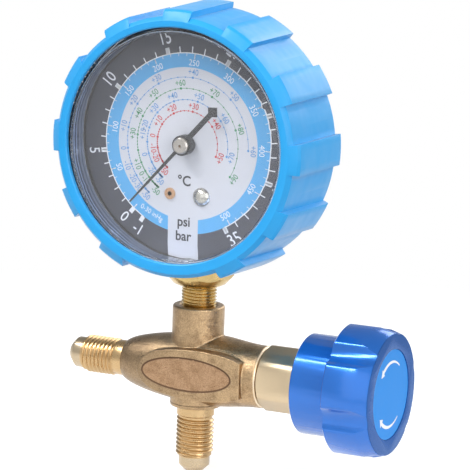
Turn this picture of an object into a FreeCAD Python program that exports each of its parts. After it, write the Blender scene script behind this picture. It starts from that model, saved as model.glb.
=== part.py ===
"""Refrigerant pressure gauge on a one-valve charging manifold.

A 68 mm bottom-entry gauge in a lugged rubber boot screws into a forged brass body.
The body has two 1/4 inch flare ports, one to the left and one below, and a
hand valve to the right that shuts the passage to the left port.

Frame, in millimetres: the origin is on the axis of the lower flare port, at the
free end of its thread. +Z is up, +X points along the valve spindle to the knob,
and the dial faces -Y.
"""
import FreeCAD
import Part
import math
import os

V = FreeCAD.Vector
os.makedirs("parts", exist_ok=True)

# flare ports, 7/16-20 thread and 45 degree nose
thread_r = 5.556
thread_len = 10.8
nose_r = 4.53
nose_len = 4.5
nose_tip_r = 2.8
passage_r = 2.0

# forged body
valve_z = 26.0
left_body_x = -22.7
left_thread_x = -25.4
left_neck_r = 4.85
lower_neck_r = 5.3
barrel_r = 9.1
barrel_end_x = 22.6
belly_r = 10.5
boss_r = 7.6
boss_top = 18.9
collar_bottom = -11.0
shank_r = 5.9
shank_bottom = -12.9
panel_y = 10.3
panel_left_x = -14.7
panel_right_x = 18.4
panel_half_z = 7.4
oval_centre_x = 1.35
oval_half_x = 14.45
oval_half_z = 4.85
oval_line = 0.4
oval_depth = 0.35

# valve
seat_x = -3.0
chamber_r = 4.5
barrel_bore_r = 7.0
barrel_shoulder_x = 12.0
bonnet_af = 17.2
bonnet_turned_r = 9.5
bonnet_tilt = 6.0
bonnet_gap = 0.2
bonnet_hex_len = 13.7
bonnet_neck_len = 5.0
bonnet_bore_depth = 9.5
bonnet_hex_x = barrel_end_x + bonnet_gap
bonnet_neck_x = bonnet_hex_x + bonnet_hex_len
bonnet_end_x = bonnet_neck_x + bonnet_neck_len
bonnet_neck_r = 7.8
spindle_r = 3.0
spindle_thread_r = 3.9
drive_square = 4.2
lift = 3.0
seal_depth = 8.9
seal_pitch = 2.5
groove_r = 2.3
groove_wide = 1.4
thread_back = 4.0
thread_depth = 13.9
nose_pin_r = 1.95
nose_pin_end_x = 7.0
fit_gap = 0.05

# knob
skirt_over = 0.7
skirt_x = bonnet_neck_x - skirt_over
skirt_r = 14.5
cavity_r = 11.8
lift_clear = 0.1
cavity_end_x = bonnet_end_x + lift + lift_clear
web_t = 2.9
grip_x = cavity_end_x + web_t
grip_len = 13.8
grip_front_x = grip_x + grip_len
grip_r = 18.9
grip_chamfer_len = 4.5
grip_chamfer_x = grip_front_x - grip_chamfer_len
grip_face_r = 17.5
valley_r = 5.4
valley_depth = 1.7
lobes = 6
lobe_angle = 46.0
lobe_round = 1.6
label_r = 12.94
label_t = 0.3
label_sunk = 0.5
label_gap = 0.12
label_seat_x = grip_front_x - label_sunk

# screw that holds the knob on the square of the spindle
knob_screw_r = 1.5
knob_screw_head_r = 3.3
knob_screw_head_t = 2.2
screw_recess = 5.3
screw_seat_x = grip_front_x - screw_recess
drive_start_x = cavity_end_x + 1.4
drive_end_x = screw_seat_x - 0.5
drive_tap_x = drive_start_x + 1.0

# gauge
gauge_over_valve = 67.3
gauge_z = valve_z + gauge_over_valve
dial_y = -10.0
dial_t = 0.5
case_r = 35.0
case_wall = 0.7
case_corner = 1.4
case_front_y = -19.5
case_back_y = 6.0
dial_gap = 0.4
dial_r = case_r - case_wall - dial_gap
window_gap = 0.1
window_y = case_front_y - 0.1
window_t = 1.7
window_dome = 0.8
window_rim = 1.4
gasket_t = 0.9

# rubber boot
boot_gap = 0.15
boot_wall = 2.05
boot_draft = 0.9
lug_height = 1.9
boot_lip_front = 1.7
boot_lip_back = 1.5
boot_open_rim = 1.5
boot_open_up = 0.5
boot_back_lip = 4.0
boot_bevel = 1.2
lug_pitch = 30.0
lug_width = 13.0
boot_bevel_deep = 1.6
boot_edge = 0.4
lug_edge = 0.6
lug_bevel_deep = 1.5
lug_full_deep = 2.3
boot_front_y = case_front_y - boot_lip_front
boot_body_r = case_r + boot_gap + boot_wall
boot_flat_r = boot_body_r - boot_bevel

# gauge socket
socket_af = 18.4
socket_low_z = valve_z + 27.0
stem_r = 5.14
stem_in_r = 4.93
stem_low_z = valve_z + 12.0
socket_bore_r = 1.5
neck_half_x = 7.0
neck_front_y = -7.0
block_half_x = 8.0
block_front_y = -1.5
block_top = -9.0
block_clear = 0.3

# screws that hold the case and the movement to the block
block_screw_x = 4.5
case_screw_drop = 20.0
plate_screw_drop = 12.0
case_screw_r = 1.2
case_screw_head_r = 2.4
plate_screw_r = 0.95
plate_screw_head_r = 1.6
screw_slot = 0.7

# movement: pointer pinion and toothed sector
module = 0.4
pinion_teeth = 10
sector_teeth = 80
pressure_angle = 20.0
backlash = 0.1
pivot_angle = 147.8
rest_angle = -137.6
plate_t = 1.0
front_plate_y = dial_y + dial_t
back_plate_y = -2.5
arbor_r = 0.75
tail_len = 6.0
tail_angle = 197.4
tail_arc_sag = 0.3
link_y = -3.6
link_t = 0.8
pin_r = 0.5
open_pivot_gap = 0.3
pinion_y = -5.6
pinion_wide = 2.2
sector_y = -5.1
sector_t = 1.2
sector_hub_r = 2.2
plate_left = -12.0
plate_right = 14.8
plate_low = -18.2
plate_high = 6.5
plate_corner = 2.5
pillar_r = 1.5
pillar_top_x = -9.0
pillar_top_z = 4.0
pillar_right_x = 13.2
pillar_right_z = -12.4
pillar_low_x = -9.5
pillar_low_z = -15.5
tube_inset = 9.0
tube_r = case_r - tube_inset
tip_pin_inset = 9.0
tip_pin_x = tube_r - tip_pin_inset
tip_arm = 1.0
tube_y = 1.8
tube_wide = 6.4
tube_thick = 3.2
tube_wall = 0.5
tube_start = 197.0
tube_sweep = 293.0

# hairspring, made of half turns
collet_r = 1.0
collet_y = -7.5
collet_t = 0.8
spring_start_r = 1.4
spring_t = 0.14
spring_pitch = 0.9
spring_halves = 6

# pointer
pointer_y = -13.9
pointer_t = 0.4
pointer_tip = 23.9
pointer_tail = 15.9
tail_block = 1.9
cap_r = 2.35
hub_r = 2.9


def save(name, shape):
    shape = shape.removeSplitter()
    if not shape.isValid():
        raise ValueError(name + " is not a valid solid")
    shape.exportStep("parts/" + name + ".step")
    print(name, len(shape.Solids), len(shape.Faces), round(shape.Volume, 2))


def cyl_x(x0, x1, r, y=0.0, z=valve_z):
    return Part.makeCylinder(r, x1 - x0, V(x0, y, z), V(1, 0, 0))


def cyl_y(y0, y1, r, x=0.0, z=gauge_z):
    return Part.makeCylinder(r, y1 - y0, V(x, y0, z), V(0, 1, 0))


def cyl_z(z0, z1, r, x=0.0, y=0.0):
    return Part.makeCylinder(r, z1 - z0, V(x, y, z0), V(0, 0, 1))


def box(x0, x1, y0, y1, z0, z1):
    return Part.makeBox(x1 - x0, y1 - y0, z1 - z0, V(x0, y0, z0))


def turned_x(points, z=valve_z):
    """Solid of revolution about the valve axis from (x, radius) points."""
    ring = [V(x, 0, z + r) for x, r in points]
    face = Part.Face(Part.makePolygon(ring + [ring[0]]))
    return face.revolve(V(0, 0, z), V(1, 0, 0), 360)


def turned_z(points):
    """Solid of revolution about the port and stem axis from (radius, z) points."""
    ring = [V(r, 0, z) for r, z in points]
    face = Part.Face(Part.makePolygon(ring + [ring[0]]))
    return face.revolve(V(0, 0, 0), V(0, 0, 1), 360)


def turned_y(points, angle=360.0, start=0.0):
    """Solid of revolution about the gauge axis from (radius, y) points."""
    ring = [V(0, y, gauge_z + r) for r, y in points]
    face = Part.Face(Part.makePolygon(ring + [ring[0]]))
    solid = face.revolve(V(0, 0, gauge_z), V(0, 1, 0), angle)
    if start:
        solid.rotate(V(0, 0, gauge_z), V(0, 1, 0), start)
    return solid


def at_dial(radius, angle):
    """Point in the dial plane, the angle clockwise from the top as seen from the front."""
    a = math.radians(angle)
    return radius * math.sin(a), radius * math.cos(a)


def flare_port(length, neck_r, neck_len):
    """Male flare end along +X from the origin, its shoulder at zero."""
    thread_end = neck_len + length
    cone = nose_r - nose_tip_r
    pts = [(0, 0), (0, neck_r), (neck_len, neck_r), (neck_len, thread_r)]
    pts += [(thread_end, thread_r), (thread_end, nose_r)]
    pts.append((thread_end + nose_len - cone, nose_r))
    pts += [(thread_end + nose_len, nose_tip_r), (thread_end + nose_len, 0)]
    return turned_x(pts, 0.0)


def leaf_panel(depth):
    """Raised leaf outline of the forging, cut off square at the knob end."""
    grow = [(0.07, 0.55), (0.26, 0.88), (0.55, 1.0), (0.74, 0.97), (0.89, 0.87)]
    span = panel_right_x - panel_left_x
    top = [V(panel_right_x, 0, 0.72 * panel_half_z)]
    for k, h in reversed(grow):
        top.append(V(panel_left_x + k * span, 0, h * panel_half_z))
    low = [V(p.x, 0, -p.z) for p in reversed(top)]
    curve = Part.BSplineCurve()
    curve.interpolate(top + [V(panel_left_x, 0, 0)] + low)
    edge = Part.LineSegment(low[-1], top[0]).toShape()
    face = Part.Face(Part.Wire([curve.toShape(), edge]))
    return face.extrude(V(0, depth, 0))


def oval_ring():
    """Sunk line round the flat oval field of the panel."""
    solids = []
    for shrink in (0.0, oval_line):
        oval = Part.Ellipse(V(0, 0, 0), oval_half_x - shrink, oval_half_z - shrink)
        face = Part.Face(Part.Wire(oval.toShape()))
        face.rotate(V(0, 0, 0), V(1, 0, 0), 90)
        solids.append(face.extrude(V(0, oval_depth + 1.0, 0)))
    ring = solids[0].cut(solids[1])
    ring.translate(V(oval_centre_x, -panel_y - 1.0, valve_z))
    return ring


def make_body():
    """One-piece hot forging with integral ports, boss and valve barrel."""
    profile = [(left_body_x + 0.4, 5.9), (-21.0, 6.6), (-18.5, 7.5), (-14.5, 8.5)]
    profile += [(-10.0, 9.3), (-4.0, 10.0), (4.0, belly_r), (10.0, 10.2)]
    profile += [(15.5, 9.5), (barrel_end_x - 0.6, barrel_r)]
    curve = Part.BSplineCurve()
    curve.interpolate([V(x, 0, valve_z + r) for x, r in profile])
    edges = [curve.toShape()]
    last = V(barrel_end_x, 0, valve_z + barrel_r - 0.5)
    corners = [V(profile[-1][0], 0, valve_z + barrel_r), last, V(barrel_end_x, 0, valve_z)]
    corners += [V(left_body_x, 0, valve_z), V(left_body_x, 0, valve_z + 5.3)]
    corners.append(V(profile[0][0], 0, valve_z + profile[0][1]))
    for a, b in zip(corners, corners[1:]):
        edges.append(Part.LineSegment(a, b).toShape())
    face = Part.Face(Part.Wire(Part.__sortEdges__(edges)))
    body = face.revolve(V(0, 0, valve_z), V(1, 0, 0), 360)
    low = valve_z + collar_bottom
    post = turned_z([(0, low), (boss_r - 0.8, low), (boss_r, low + 0.8),
                     (boss_r, valve_z + boss_top - 0.4),
                     (boss_r - 0.4, valve_z + boss_top), (0, valve_z + boss_top)])
    body = body.fuse(post)
    for side in (-1, 1):
        panel = leaf_panel(6.0)
        panel.translate(V(0, -panel_y if side < 0 else panel_y - 6.0, valve_z))
        body = body.fuse(panel)
    body = body.common(box(-30, 30, -panel_y, panel_y, 0, valve_z + 40))
    left = flare_port(thread_len, left_neck_r, left_body_x - left_thread_x)
    left.rotate(V(0, 0, 0), V(0, 0, 1), 180)
    left.translate(V(left_body_x, 0, valve_z))
    lower = flare_port(thread_len, lower_neck_r, valve_z + shank_bottom - thread_len)
    lower.rotate(V(0, 0, 0), V(0, 1, 0), 90)
    lower.translate(V(0, 0, valve_z + shank_bottom))
    shank = turned_z([(0, valve_z + shank_bottom), (shank_r, valve_z + shank_bottom),
                      (shank_r, low + 0.5), (0, low + 0.5)])
    body = body.fuse([left, lower, shank])
    body = body.cut(oval_ring())
    return body.cut(body_passages())


def body_passages():
    """Bores of the two ports, the valve chamber, the barrel and the gauge boss."""
    port = left_thread_x - thread_len - nose_len - 1
    bores = cyl_x(port, seat_x + 0.5, passage_r)
    bores = bores.fuse(cyl_x(seat_x, barrel_shoulder_x + 0.5, chamber_r))
    bores = bores.fuse(cyl_x(barrel_shoulder_x, barrel_end_x + 1, barrel_bore_r))
    bores = bores.fuse(cyl_z(-nose_len - 1, valve_z, passage_r))
    bores = bores.fuse(cyl_z(valve_z, valve_z + 11.5, passage_r))
    tap_r = stem_in_r + fit_gap
    mouth = turned_z([(0, valve_z + 10.9), (tap_r, valve_z + 10.9),
                      (tap_r, valve_z + boss_top - 0.7),
                      (stem_r + 0.6, valve_z + boss_top + 0.01),
                      (stem_r + 0.6, valve_z + boss_top + 1), (0, valve_z + boss_top + 1)])
    return bores.fuse(mouth)


def polygon_x(x0, x1, flats, across, tilt, z=valve_z):
    """Bar with an even number of flats along X, one flat facing the front."""
    r = across / 2.0 / math.cos(math.pi / flats)
    pts = []
    for i in range(flats):
        a = math.radians(-90.0 + tilt) + math.pi / flats * (2 * i + 1)
        pts.append(V(x0, r * math.sin(a), z + r * math.cos(a)))
    face = Part.Face(Part.makePolygon(pts + [pts[0]]))
    return face.extrude(V(x1 - x0, 0, 0))


def make_bonnet():
    """Hexagon bonnet, turned corners, screwed into the barrel, tapped for the spindle."""
    bar = polygon_x(bonnet_hex_x, bonnet_neck_x, 6, bonnet_af, bonnet_tilt)
    turned = turned_x([(bonnet_hex_x, 0), (bonnet_hex_x, bonnet_af / 2),
                       (bonnet_hex_x + 0.6, bonnet_turned_r),
                       (bonnet_neck_x - 0.6, bonnet_turned_r),
                       (bonnet_neck_x, bonnet_af / 2), (bonnet_neck_x, 0)])
    bonnet = bar.common(turned)
    spigot_r = barrel_bore_r - fit_gap
    inner = barrel_shoulder_x + 1.0
    bonnet = bonnet.fuse(turned_x([(inner, 0), (inner, spigot_r - 0.6), (inner + 0.6, spigot_r),
                                   (bonnet_hex_x, spigot_r), (bonnet_hex_x, 0)]))
    bonnet = bonnet.fuse(turned_x([(bonnet_neck_x, 0), (bonnet_neck_x, bonnet_neck_r),
                                   (bonnet_end_x - 0.8, bonnet_neck_r),
                                   (bonnet_end_x, bonnet_neck_r - 0.8), (bonnet_end_x, 0)]))
    step = bonnet_end_x - bonnet_bore_depth
    bonnet = bonnet.cut(cyl_x(inner - 1, step, spindle_thread_r + fit_gap))
    return bonnet.cut(cyl_x(step - 1, bonnet_end_x + 1, spindle_r + fit_gap))


def make_bonnet_seal():
    x0 = barrel_shoulder_x
    r = barrel_bore_r - fit_gap
    return cyl_x(x0, x0 + 1.0, r).cut(cyl_x(x0 - 1, x0 + 2, chamber_r + 0.1))


def make_spindle():
    """Valve spindle: nose in the seat holder, thread, two seal grooves, square drive."""
    x0, x1 = barrel_shoulder_x + thread_back, bonnet_end_x - thread_depth
    pts = [(1.2, 0), (1.2, nose_pin_r - 0.35), (1.5, nose_pin_r), (nose_pin_end_x, nose_pin_r)]
    pts += [(nose_pin_end_x, spindle_r), (x0 - 0.6, spindle_r), (x0, spindle_thread_r)]
    pts += [(x1, spindle_thread_r), (x1 + 0.6, spindle_r)]
    for x in groove_places():
        pts += [(x, spindle_r), (x, groove_r), (x + groove_wide, groove_r)]
        pts += [(x + groove_wide, spindle_r)]
    pts += [(drive_start_x, spindle_r), (drive_start_x, 0)]
    body = turned_x(pts)
    h = drive_square / 2.0
    square = box(drive_start_x - 0.5, drive_end_x, -h, h, valve_z - h, valve_z + h)
    body = body.fuse(square)
    return body.cut(cyl_x(drive_tap_x, drive_end_x + 1, knob_screw_r + fit_gap))


def groove_places():
    x = bonnet_end_x - seal_depth
    return [x, x + seal_pitch]


def make_spindle_seals():
    rings = []
    mid = (groove_r + spindle_r + 0.02) / 2.0
    tube = (spindle_r + 0.02 - groove_r) / 2.0
    for x in groove_places():
        middle = V(x + groove_wide / 2.0, 0, valve_z)
        rings.append(Part.makeTorus(mid, tube, middle, V(1, 0, 0)))
    return Part.makeCompound(rings)


def make_seat_holder():
    holder = turned_x([(-1.0, 0), (-1.0, 3.3), (5.5, 3.3), (6.0, 2.9), (6.0, 0)])
    return holder.cut(cyl_x(1.0, nose_pin_end_x, nose_pin_r + fit_gap))


def make_seat_disc():
    return turned_x([(seat_x + fit_gap, 0), (seat_x + fit_gap, 2.6), (seat_x + 0.5, 2.95),
                     (-1.0, 2.95), (-1.0, 0)])


def corner_edges(edges):
    """Edges that lie on the outside of the grip, without the seam of the bar."""
    kept = []
    for e in edges:
        p = e.valueAt(e.FirstParameter)
        if abs(math.hypot(p.y, p.z - valve_z) - grip_r) < 0.001 and not on_seam(p):
            kept.append(e)
    return kept


def on_seam(p):
    """True on the start line of the round bar, which is no real edge."""
    return abs(p.y) < 0.001 or abs(p.z - valve_z) < 0.001


def make_knob():
    """Turned knob: plain skirt over the bonnet and a grip of shallow lobes."""
    grip = turned_x([(grip_x, 0), (grip_x, grip_r - 0.4), (grip_x + 0.4, grip_r),
                     (grip_chamfer_x, grip_r), (grip_front_x, grip_face_r), (grip_front_x, 0)])
    lobed = cyl_x(grip_x, grip_front_x, grip_r)
    centre = grip_r - valley_depth + valley_r
    for i in range(lobes):
        a = math.radians(lobe_angle + 180.0 / lobes + 360.0 / lobes * i)
        y = centre * math.cos(a)
        z = valve_z + centre * math.sin(a)
        lobed = lobed.cut(cyl_x(grip_x - 1, grip_front_x + 1, valley_r, y, z))
    edges = []
    for e in lobed.Edges:
        along = e.valueAt(e.LastParameter) - e.valueAt(e.FirstParameter)
        if abs(along.x) > 1.0 and abs(along.y) + abs(along.z) < 0.001:
            edges.append(e)
    grip = lobed.makeFillet(lobe_round, corner_edges(edges)).common(grip)
    skirt = turned_x([(skirt_x, 0), (skirt_x, skirt_r - 0.3), (skirt_x + 0.3, skirt_r),
                      (grip_x, skirt_r), (grip_x, 0)])
    knob = grip.fuse(skirt)
    knob = knob.cut(cyl_x(skirt_x - 1, cavity_end_x, cavity_r))
    h = drive_square / 2.0 + fit_gap
    knob = knob.cut(box(cavity_end_x - 1, screw_seat_x + 1, -h, h, valve_z - h, valve_z + h))
    knob = knob.cut(cyl_x(cavity_end_x - 1, drive_start_x + 0.6, spindle_r + 0.1))
    knob = knob.cut(cyl_x(screw_seat_x, grip_front_x + 1, knob_screw_head_r + 0.7))
    return knob.cut(cyl_x(label_seat_x, grip_front_x + 1, label_r + label_gap))


def make_knob_screw():
    """Pan-head screw that draws the knob onto the square of the spindle."""
    x0 = screw_seat_x
    x1 = screw_seat_x + knob_screw_head_t
    head = turned_x([(x0, 0), (x0, knob_screw_head_r), (x1 - 0.8, knob_screw_head_r),
                     (x1, knob_screw_head_r - 0.7), (x1, 0)])
    screw = head.fuse(cyl_x(drive_tap_x + 2.0, x0 + 0.2, knob_screw_r))
    for turn in (0, 90):
        slot = box(x1 - 0.9, x1 + 1, -0.35, 0.35, valve_z - 1.7, valve_z + 1.7)
        slot.rotate(V(0, 0, valve_z), V(1, 0, 0), turn)
        screw = screw.cut(slot)
    return screw


def make_knob_label():
    return cyl_x(label_seat_x, label_seat_x + label_t, label_r)


def octagon(z0, z1):
    r = socket_af / 2.0 / math.cos(math.pi / 8)
    pts = []
    for i in range(8):
        a = math.radians(22.5 + 45.0 * i)
        pts.append(V(r * math.sin(a), r * math.cos(a), z0))
    return Part.Face(Part.makePolygon(pts + [pts[0]])).extrude(V(0, 0, z1 - z0))


def tube_face(grow, start):
    """Flat-oval section of the pressure tube at the start angle."""
    w = tube_wide / 2.0 + grow
    t = tube_thick / 2.0 + grow
    r = gauge_z + tube_r
    a, b = V(0, tube_y - w + t, r - t), V(0, tube_y + w - t, r - t)
    c, d = V(0, tube_y + w - t, r + t), V(0, tube_y - w + t, r + t)
    edges = [Part.LineSegment(a, b).toShape(), Part.LineSegment(c, d).toShape()]
    edges.append(Part.Arc(b, V(0, tube_y + w, r), c).toShape())
    edges.append(Part.Arc(d, V(0, tube_y - w, r), a).toShape())
    face = Part.Face(Part.Wire(Part.__sortEdges__(edges)))
    face.rotate(V(0, 0, gauge_z), V(0, 1, 0), start)
    return face


def make_bourdon_tube():
    """C-shaped flattened tube, open into the block and closed by the tip piece."""
    outer = tube_face(0.0, tube_start)
    solid = outer.revolve(V(0, 0, gauge_z), V(0, 1, 0), tube_sweep)
    inner = tube_face(-tube_wall, tube_start - 1)
    return solid.cut(inner.revolve(V(0, 0, gauge_z), V(0, 1, 0), tube_sweep + 2))


def make_socket():
    """Brass stem: pipe thread, bowl, octagon for the wrench, neck and tube block."""
    top = gauge_z - case_r - 0.3
    r_corner = socket_af / 2.0 / math.cos(math.pi / 8)
    bar = octagon(valve_z + 24.0, top)
    bowl = turned_z([(0, valve_z + 24.0), (stem_r + 0.2, valve_z + 24.4),
                     (stem_r + 2.6, valve_z + 25.5), (r_corner, socket_low_z + 1.0),
                     (r_corner + 0.1, top), (0, top)])
    stem = turned_z([(0, stem_low_z), (stem_in_r - 0.5, stem_low_z),
                     (stem_in_r, stem_low_z + 0.6), (stem_in_r, valve_z + boss_top - 0.6),
                     (stem_r, valve_z + boss_top), (stem_r + 0.12, valve_z + 24.6),
                     (0, valve_z + 24.6)])
    back = case_back_y - case_wall
    reach = case_r - case_wall - inner_corner() - block_clear
    low = gauge_z - math.sqrt(reach * reach - block_half_x * block_half_x)
    neck = box(-neck_half_x, neck_half_x, neck_front_y, back - 0.4, top - 0.1, low + 1.0)
    block = box(-block_half_x, block_half_x, block_front_y, back, low, gauge_z + block_top)
    socket = bar.common(bowl).fuse([stem, neck, block])
    socket = socket.cut(cyl_z(stem_low_z - 1, gauge_z - tube_r + 2.0, socket_bore_r, 0.0, 0.5))
    slot = tube_face(fit_gap, tube_start - 0.5)
    socket = socket.cut(slot.revolve(V(0, 0, gauge_z), V(0, 1, 0), 12))
    socket = socket.cut(box(-block_half_x, 0, tube_y - 1.2, tube_y + 1.2,
                            gauge_z - tube_r - 0.8, gauge_z - tube_r + 1.4))
    socket = socket.cut(cyl_z(stem_low_z - 1, stem_low_z + 3.2, 1.9, 0.0, 0.5))
    for x in (-block_screw_x, block_screw_x):
        tap = plate_screw_r + fit_gap
        socket = socket.cut(cyl_y(block_front_y - 1, 2.0, tap, x, gauge_z - plate_screw_drop))
        tap = case_screw_r + fit_gap
        socket = socket.cut(cyl_y(1.0, back + 1, tap, x, gauge_z - case_screw_drop))
    return socket


def make_restrictor():
    """Small drilled screw that damps pressure pulses in the stem."""
    z0 = stem_low_z + 0.2
    return cyl_z(z0, z0 + 2.8, 1.85, 0.0, 0.5).cut(cyl_z(z0 - 1, z0 + 4, 0.35, 0.0, 0.5))


def inner_corner():
    """Size of the bevel inside the back corner of the case."""
    return case_corner - 0.5


def make_case():
    """Drawn steel can with a turned-in back corner and a stem cut-out below."""
    inner = case_r - case_wall
    bevel = inner_corner()
    can = turned_y([(0, case_back_y), (case_r - case_corner, case_back_y),
                    (case_r, case_back_y - case_corner), (case_r, case_front_y),
                    (inner, case_front_y), (inner, case_back_y - case_wall - bevel),
                    (inner - bevel, case_back_y - case_wall), (0, case_back_y - case_wall)])
    g = 0.25
    hole = box(-neck_half_x - g, neck_half_x + g, neck_front_y - g,
               case_back_y - case_wall - 0.1, gauge_z - case_r - 2, gauge_z - case_r + 3)
    can = can.cut(hole)
    low, r = gauge_z - case_screw_drop, case_screw_r + 0.1
    for x in (-block_screw_x, block_screw_x):
        can = can.cut(cyl_y(case_back_y - 2, case_back_y + 1, r, x, low))
    return can


def make_case_screws():
    screws = []
    z, half = gauge_z - case_screw_drop, screw_slot / 2.0
    head_t, wide = case_screw_head_r / 2.0, case_screw_head_r + 0.2
    for x in (-block_screw_x, block_screw_x):
        head = cyl_y(case_back_y, case_back_y + head_t, case_screw_head_r, x, z)
        slot = box(x - wide, x + wide, case_back_y + head_t / 2.0, case_back_y + head_t + 1,
                   z - half, z + half)
        screws.append(head.cut(slot).fuse(cyl_y(2.2, case_back_y + 0.1, case_screw_r, x, z)))
    return Part.makeCompound(screws)


def make_boot():
    """Rubber boot: front lip, bevelled wall with draft, raised lugs, rear lip."""
    inner = case_r + boot_gap
    back = case_back_y + boot_lip_back
    lip_y = window_y - 0.15
    wide = boot_body_r + boot_draft
    opening = inner - boot_open_rim
    hole = case_r - boot_back_lip
    ring = [(opening - 2.0, boot_front_y), (boot_flat_r, boot_front_y)]
    ring += [(boot_body_r, boot_front_y + boot_bevel_deep)]
    ring += [(wide, back - boot_edge), (wide - boot_edge, back)]
    ring += [(hole, back), (hole, case_back_y + 0.05)]
    ring += [(inner - case_corner + 0.1, case_back_y + 0.05)]
    ring += [(inner, case_back_y - case_corner + 0.1), (inner, lip_y), (opening - 2.0, lip_y)]
    boot = turned_y(ring)
    crest = boot_body_r + lug_height
    lug = [(boot_flat_r, boot_front_y), (crest - lug_edge, boot_front_y + lug_bevel_deep)]
    lug += [(crest, boot_front_y + lug_full_deep), (wide + lug_height - 0.2, back - 0.3)]
    lug += [(wide + lug_height - 0.5, back), (boot_flat_r, back)]
    lugs = []
    for i in range(12):
        if i != 6:
            lugs.append(turned_y(lug, lug_width, lug_pitch * i - lug_width / 2.0))
    boot = boot.fuse(lugs)
    mouth = turned_y([(0, boot_front_y - 1), (opening + 1.3, boot_front_y - 1),
                      (opening, boot_front_y + 0.3), (opening, lip_y + 1), (0, lip_y + 1)])
    mouth.translate(V(0, 0, boot_open_up))
    boot = boot.cut(mouth)
    clear = socket_af / 2.0 / math.cos(math.pi / 8) + 0.3
    low = gauge_z - boot_body_r - boot_draft - lug_height - 2
    return boot.cut(cyl_z(low, gauge_z - case_r + 1.2, clear))


def make_window():
    """Clear moulded window: slightly domed disc with a deep rim that seats on the gasket."""
    r = case_r - case_wall - window_gap
    rim_back = dial_y - gasket_t
    crown = window_y - window_dome
    big = (r * r + window_dome * window_dome) / (2.0 * window_dome)
    ball = Part.makeSphere(big, V(0, crown + big, gauge_z))
    disc = cyl_y(crown - 1, window_y + window_t, r).common(ball)
    rim = cyl_y(window_y + 0.5, rim_back, r).cut(cyl_y(window_y, rim_back + 1, r - window_rim))
    return disc.fuse(rim)


def make_window_gasket():
    r = case_r - case_wall - window_gap
    ring = cyl_y(dial_y - gasket_t, dial_y, r)
    return ring.cut(cyl_y(dial_y - gasket_t - 1, dial_y + 1, r - window_rim))


def make_dial():
    """Printed aluminium dial with its centre hole and two fixing holes."""
    dial = cyl_y(dial_y, dial_y + dial_t, dial_r)
    dial = dial.cut(cyl_y(dial_y - 1, dial_y + 2, 1.6))
    for x, z in dial_fixings():
        dial = dial.cut(cyl_y(dial_y - 1, dial_y + 2, 1.05, x, z))
    return dial


def dial_fixings():
    return [(-5.1, gauge_z - 14.7), (4.8, gauge_z - 14.95)]


def make_dial_screw():
    x, z = dial_fixings()[1]
    ball = Part.makeSphere(3.2, V(x, dial_y + 1.7, z))
    head = cyl_y(dial_y - 2.0, dial_y, 2.7, x, z).common(ball)
    return head.fuse(cyl_y(dial_y - 0.1, dial_y + dial_t + plate_t - 0.1, 1.0, x, z))


def make_dial_eyelet():
    x, z = dial_fixings()[0]
    eye = cyl_y(dial_y - 0.4, dial_y, 1.65, x, z)
    eye = eye.fuse(cyl_y(dial_y - 0.1, dial_y + dial_t + plate_t - 0.1, 1.0, x, z))
    return eye.cut(cyl_y(dial_y - 1, dial_y + 3, 0.65, x, z))


def pivot():
    """Centre of the toothed sector, one centre distance from the pointer axis."""
    apart = module * (pinion_teeth + sector_teeth) / 2.0
    return at_dial(apart, pivot_angle)


def pillar_places():
    return [(pillar_top_x, pillar_top_z), (pillar_right_x, pillar_right_z),
            (pillar_low_x, pillar_low_z)]


def plate(y0, holes):
    """Movement plate with rounded corners."""
    blank = box(plate_left, plate_right, y0, y0 + plate_t, gauge_z + plate_low,
                gauge_z + plate_high)
    upright = [e for e in blank.Edges if abs(e.tangentAt(e.FirstParameter).y) > 0.9]
    blank = blank.makeFillet(plate_corner, upright)
    for x, z, r in holes:
        blank = blank.cut(cyl_y(y0 - 1, y0 + plate_t + 1, r, x, gauge_z + z))
    return blank


def make_front_plate():
    px, pz = pivot()
    holes = [(0, 0, arbor_r + fit_gap), (px, pz, arbor_r + fit_gap)]
    holes += [(x, z - gauge_z, 1.05) for x, z in dial_fixings()]
    return plate(front_plate_y, holes)


def make_back_plate():
    px, pz = pivot()
    holes = [(0, 0, arbor_r + fit_gap), (px, pz, arbor_r + fit_gap)]
    for x in (-block_screw_x, block_screw_x):
        holes.append((x, -plate_screw_drop, plate_screw_r + 0.1))
    return plate(back_plate_y, holes)


def make_pillars():
    solids = []
    for x, z in pillar_places():
        solids.append(cyl_y(front_plate_y + plate_t, back_plate_y, pillar_r, x, gauge_z + z))
    return Part.makeCompound(solids)


def make_movement_screws():
    solids = []
    z = gauge_z - plate_screw_drop
    for x in (-block_screw_x, block_screw_x):
        head = cyl_y(back_plate_y - 0.8, back_plate_y, plate_screw_head_r, x, z)
        slot = box(x - 2, x + 2, back_plate_y - 1, back_plate_y - 0.45, z - 0.2, z + 0.2)
        solids.append(head.cut(slot).fuse(cyl_y(back_plate_y - 0.1, 1.0, plate_screw_r, x, z)))
    return Part.makeCompound(solids)


def tooth_outline(teeth, add, ded, middle):
    """Half-widths of one involute tooth as (radius, angle in radians) from root to tip."""
    pitch_r = module * teeth / 2.0
    phi = math.radians(pressure_angle)
    base_r = pitch_r * math.cos(phi)
    half = (math.pi * module / 2.0 - backlash) / 2.0 / pitch_r
    inv = math.tan(phi) - phi
    flank = []
    low = max(base_r, pitch_r - ded)
    if pitch_r - ded < base_r:
        flank.append((pitch_r - ded, half + inv))
    for i in range(4):
        r = low + (pitch_r + add - low) * i / 3.0
        t = math.acos(min(1.0, base_r / r))
        flank.append((r, half + inv - (math.tan(t) - t)))
    left = [(r, middle - a) for r, a in flank]
    right = [(r, middle + a) for r, a in reversed(flank)]
    return left + right


def gear_points(teeth, add, ded, first, count):
    """Outline of several teeth in order, clockwise from the tooth centred at first."""
    pts = []
    step = 2.0 * math.pi / teeth
    for i in range(count):
        pts += tooth_outline(teeth, add, ded, first + i * step)
    return pts


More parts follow.
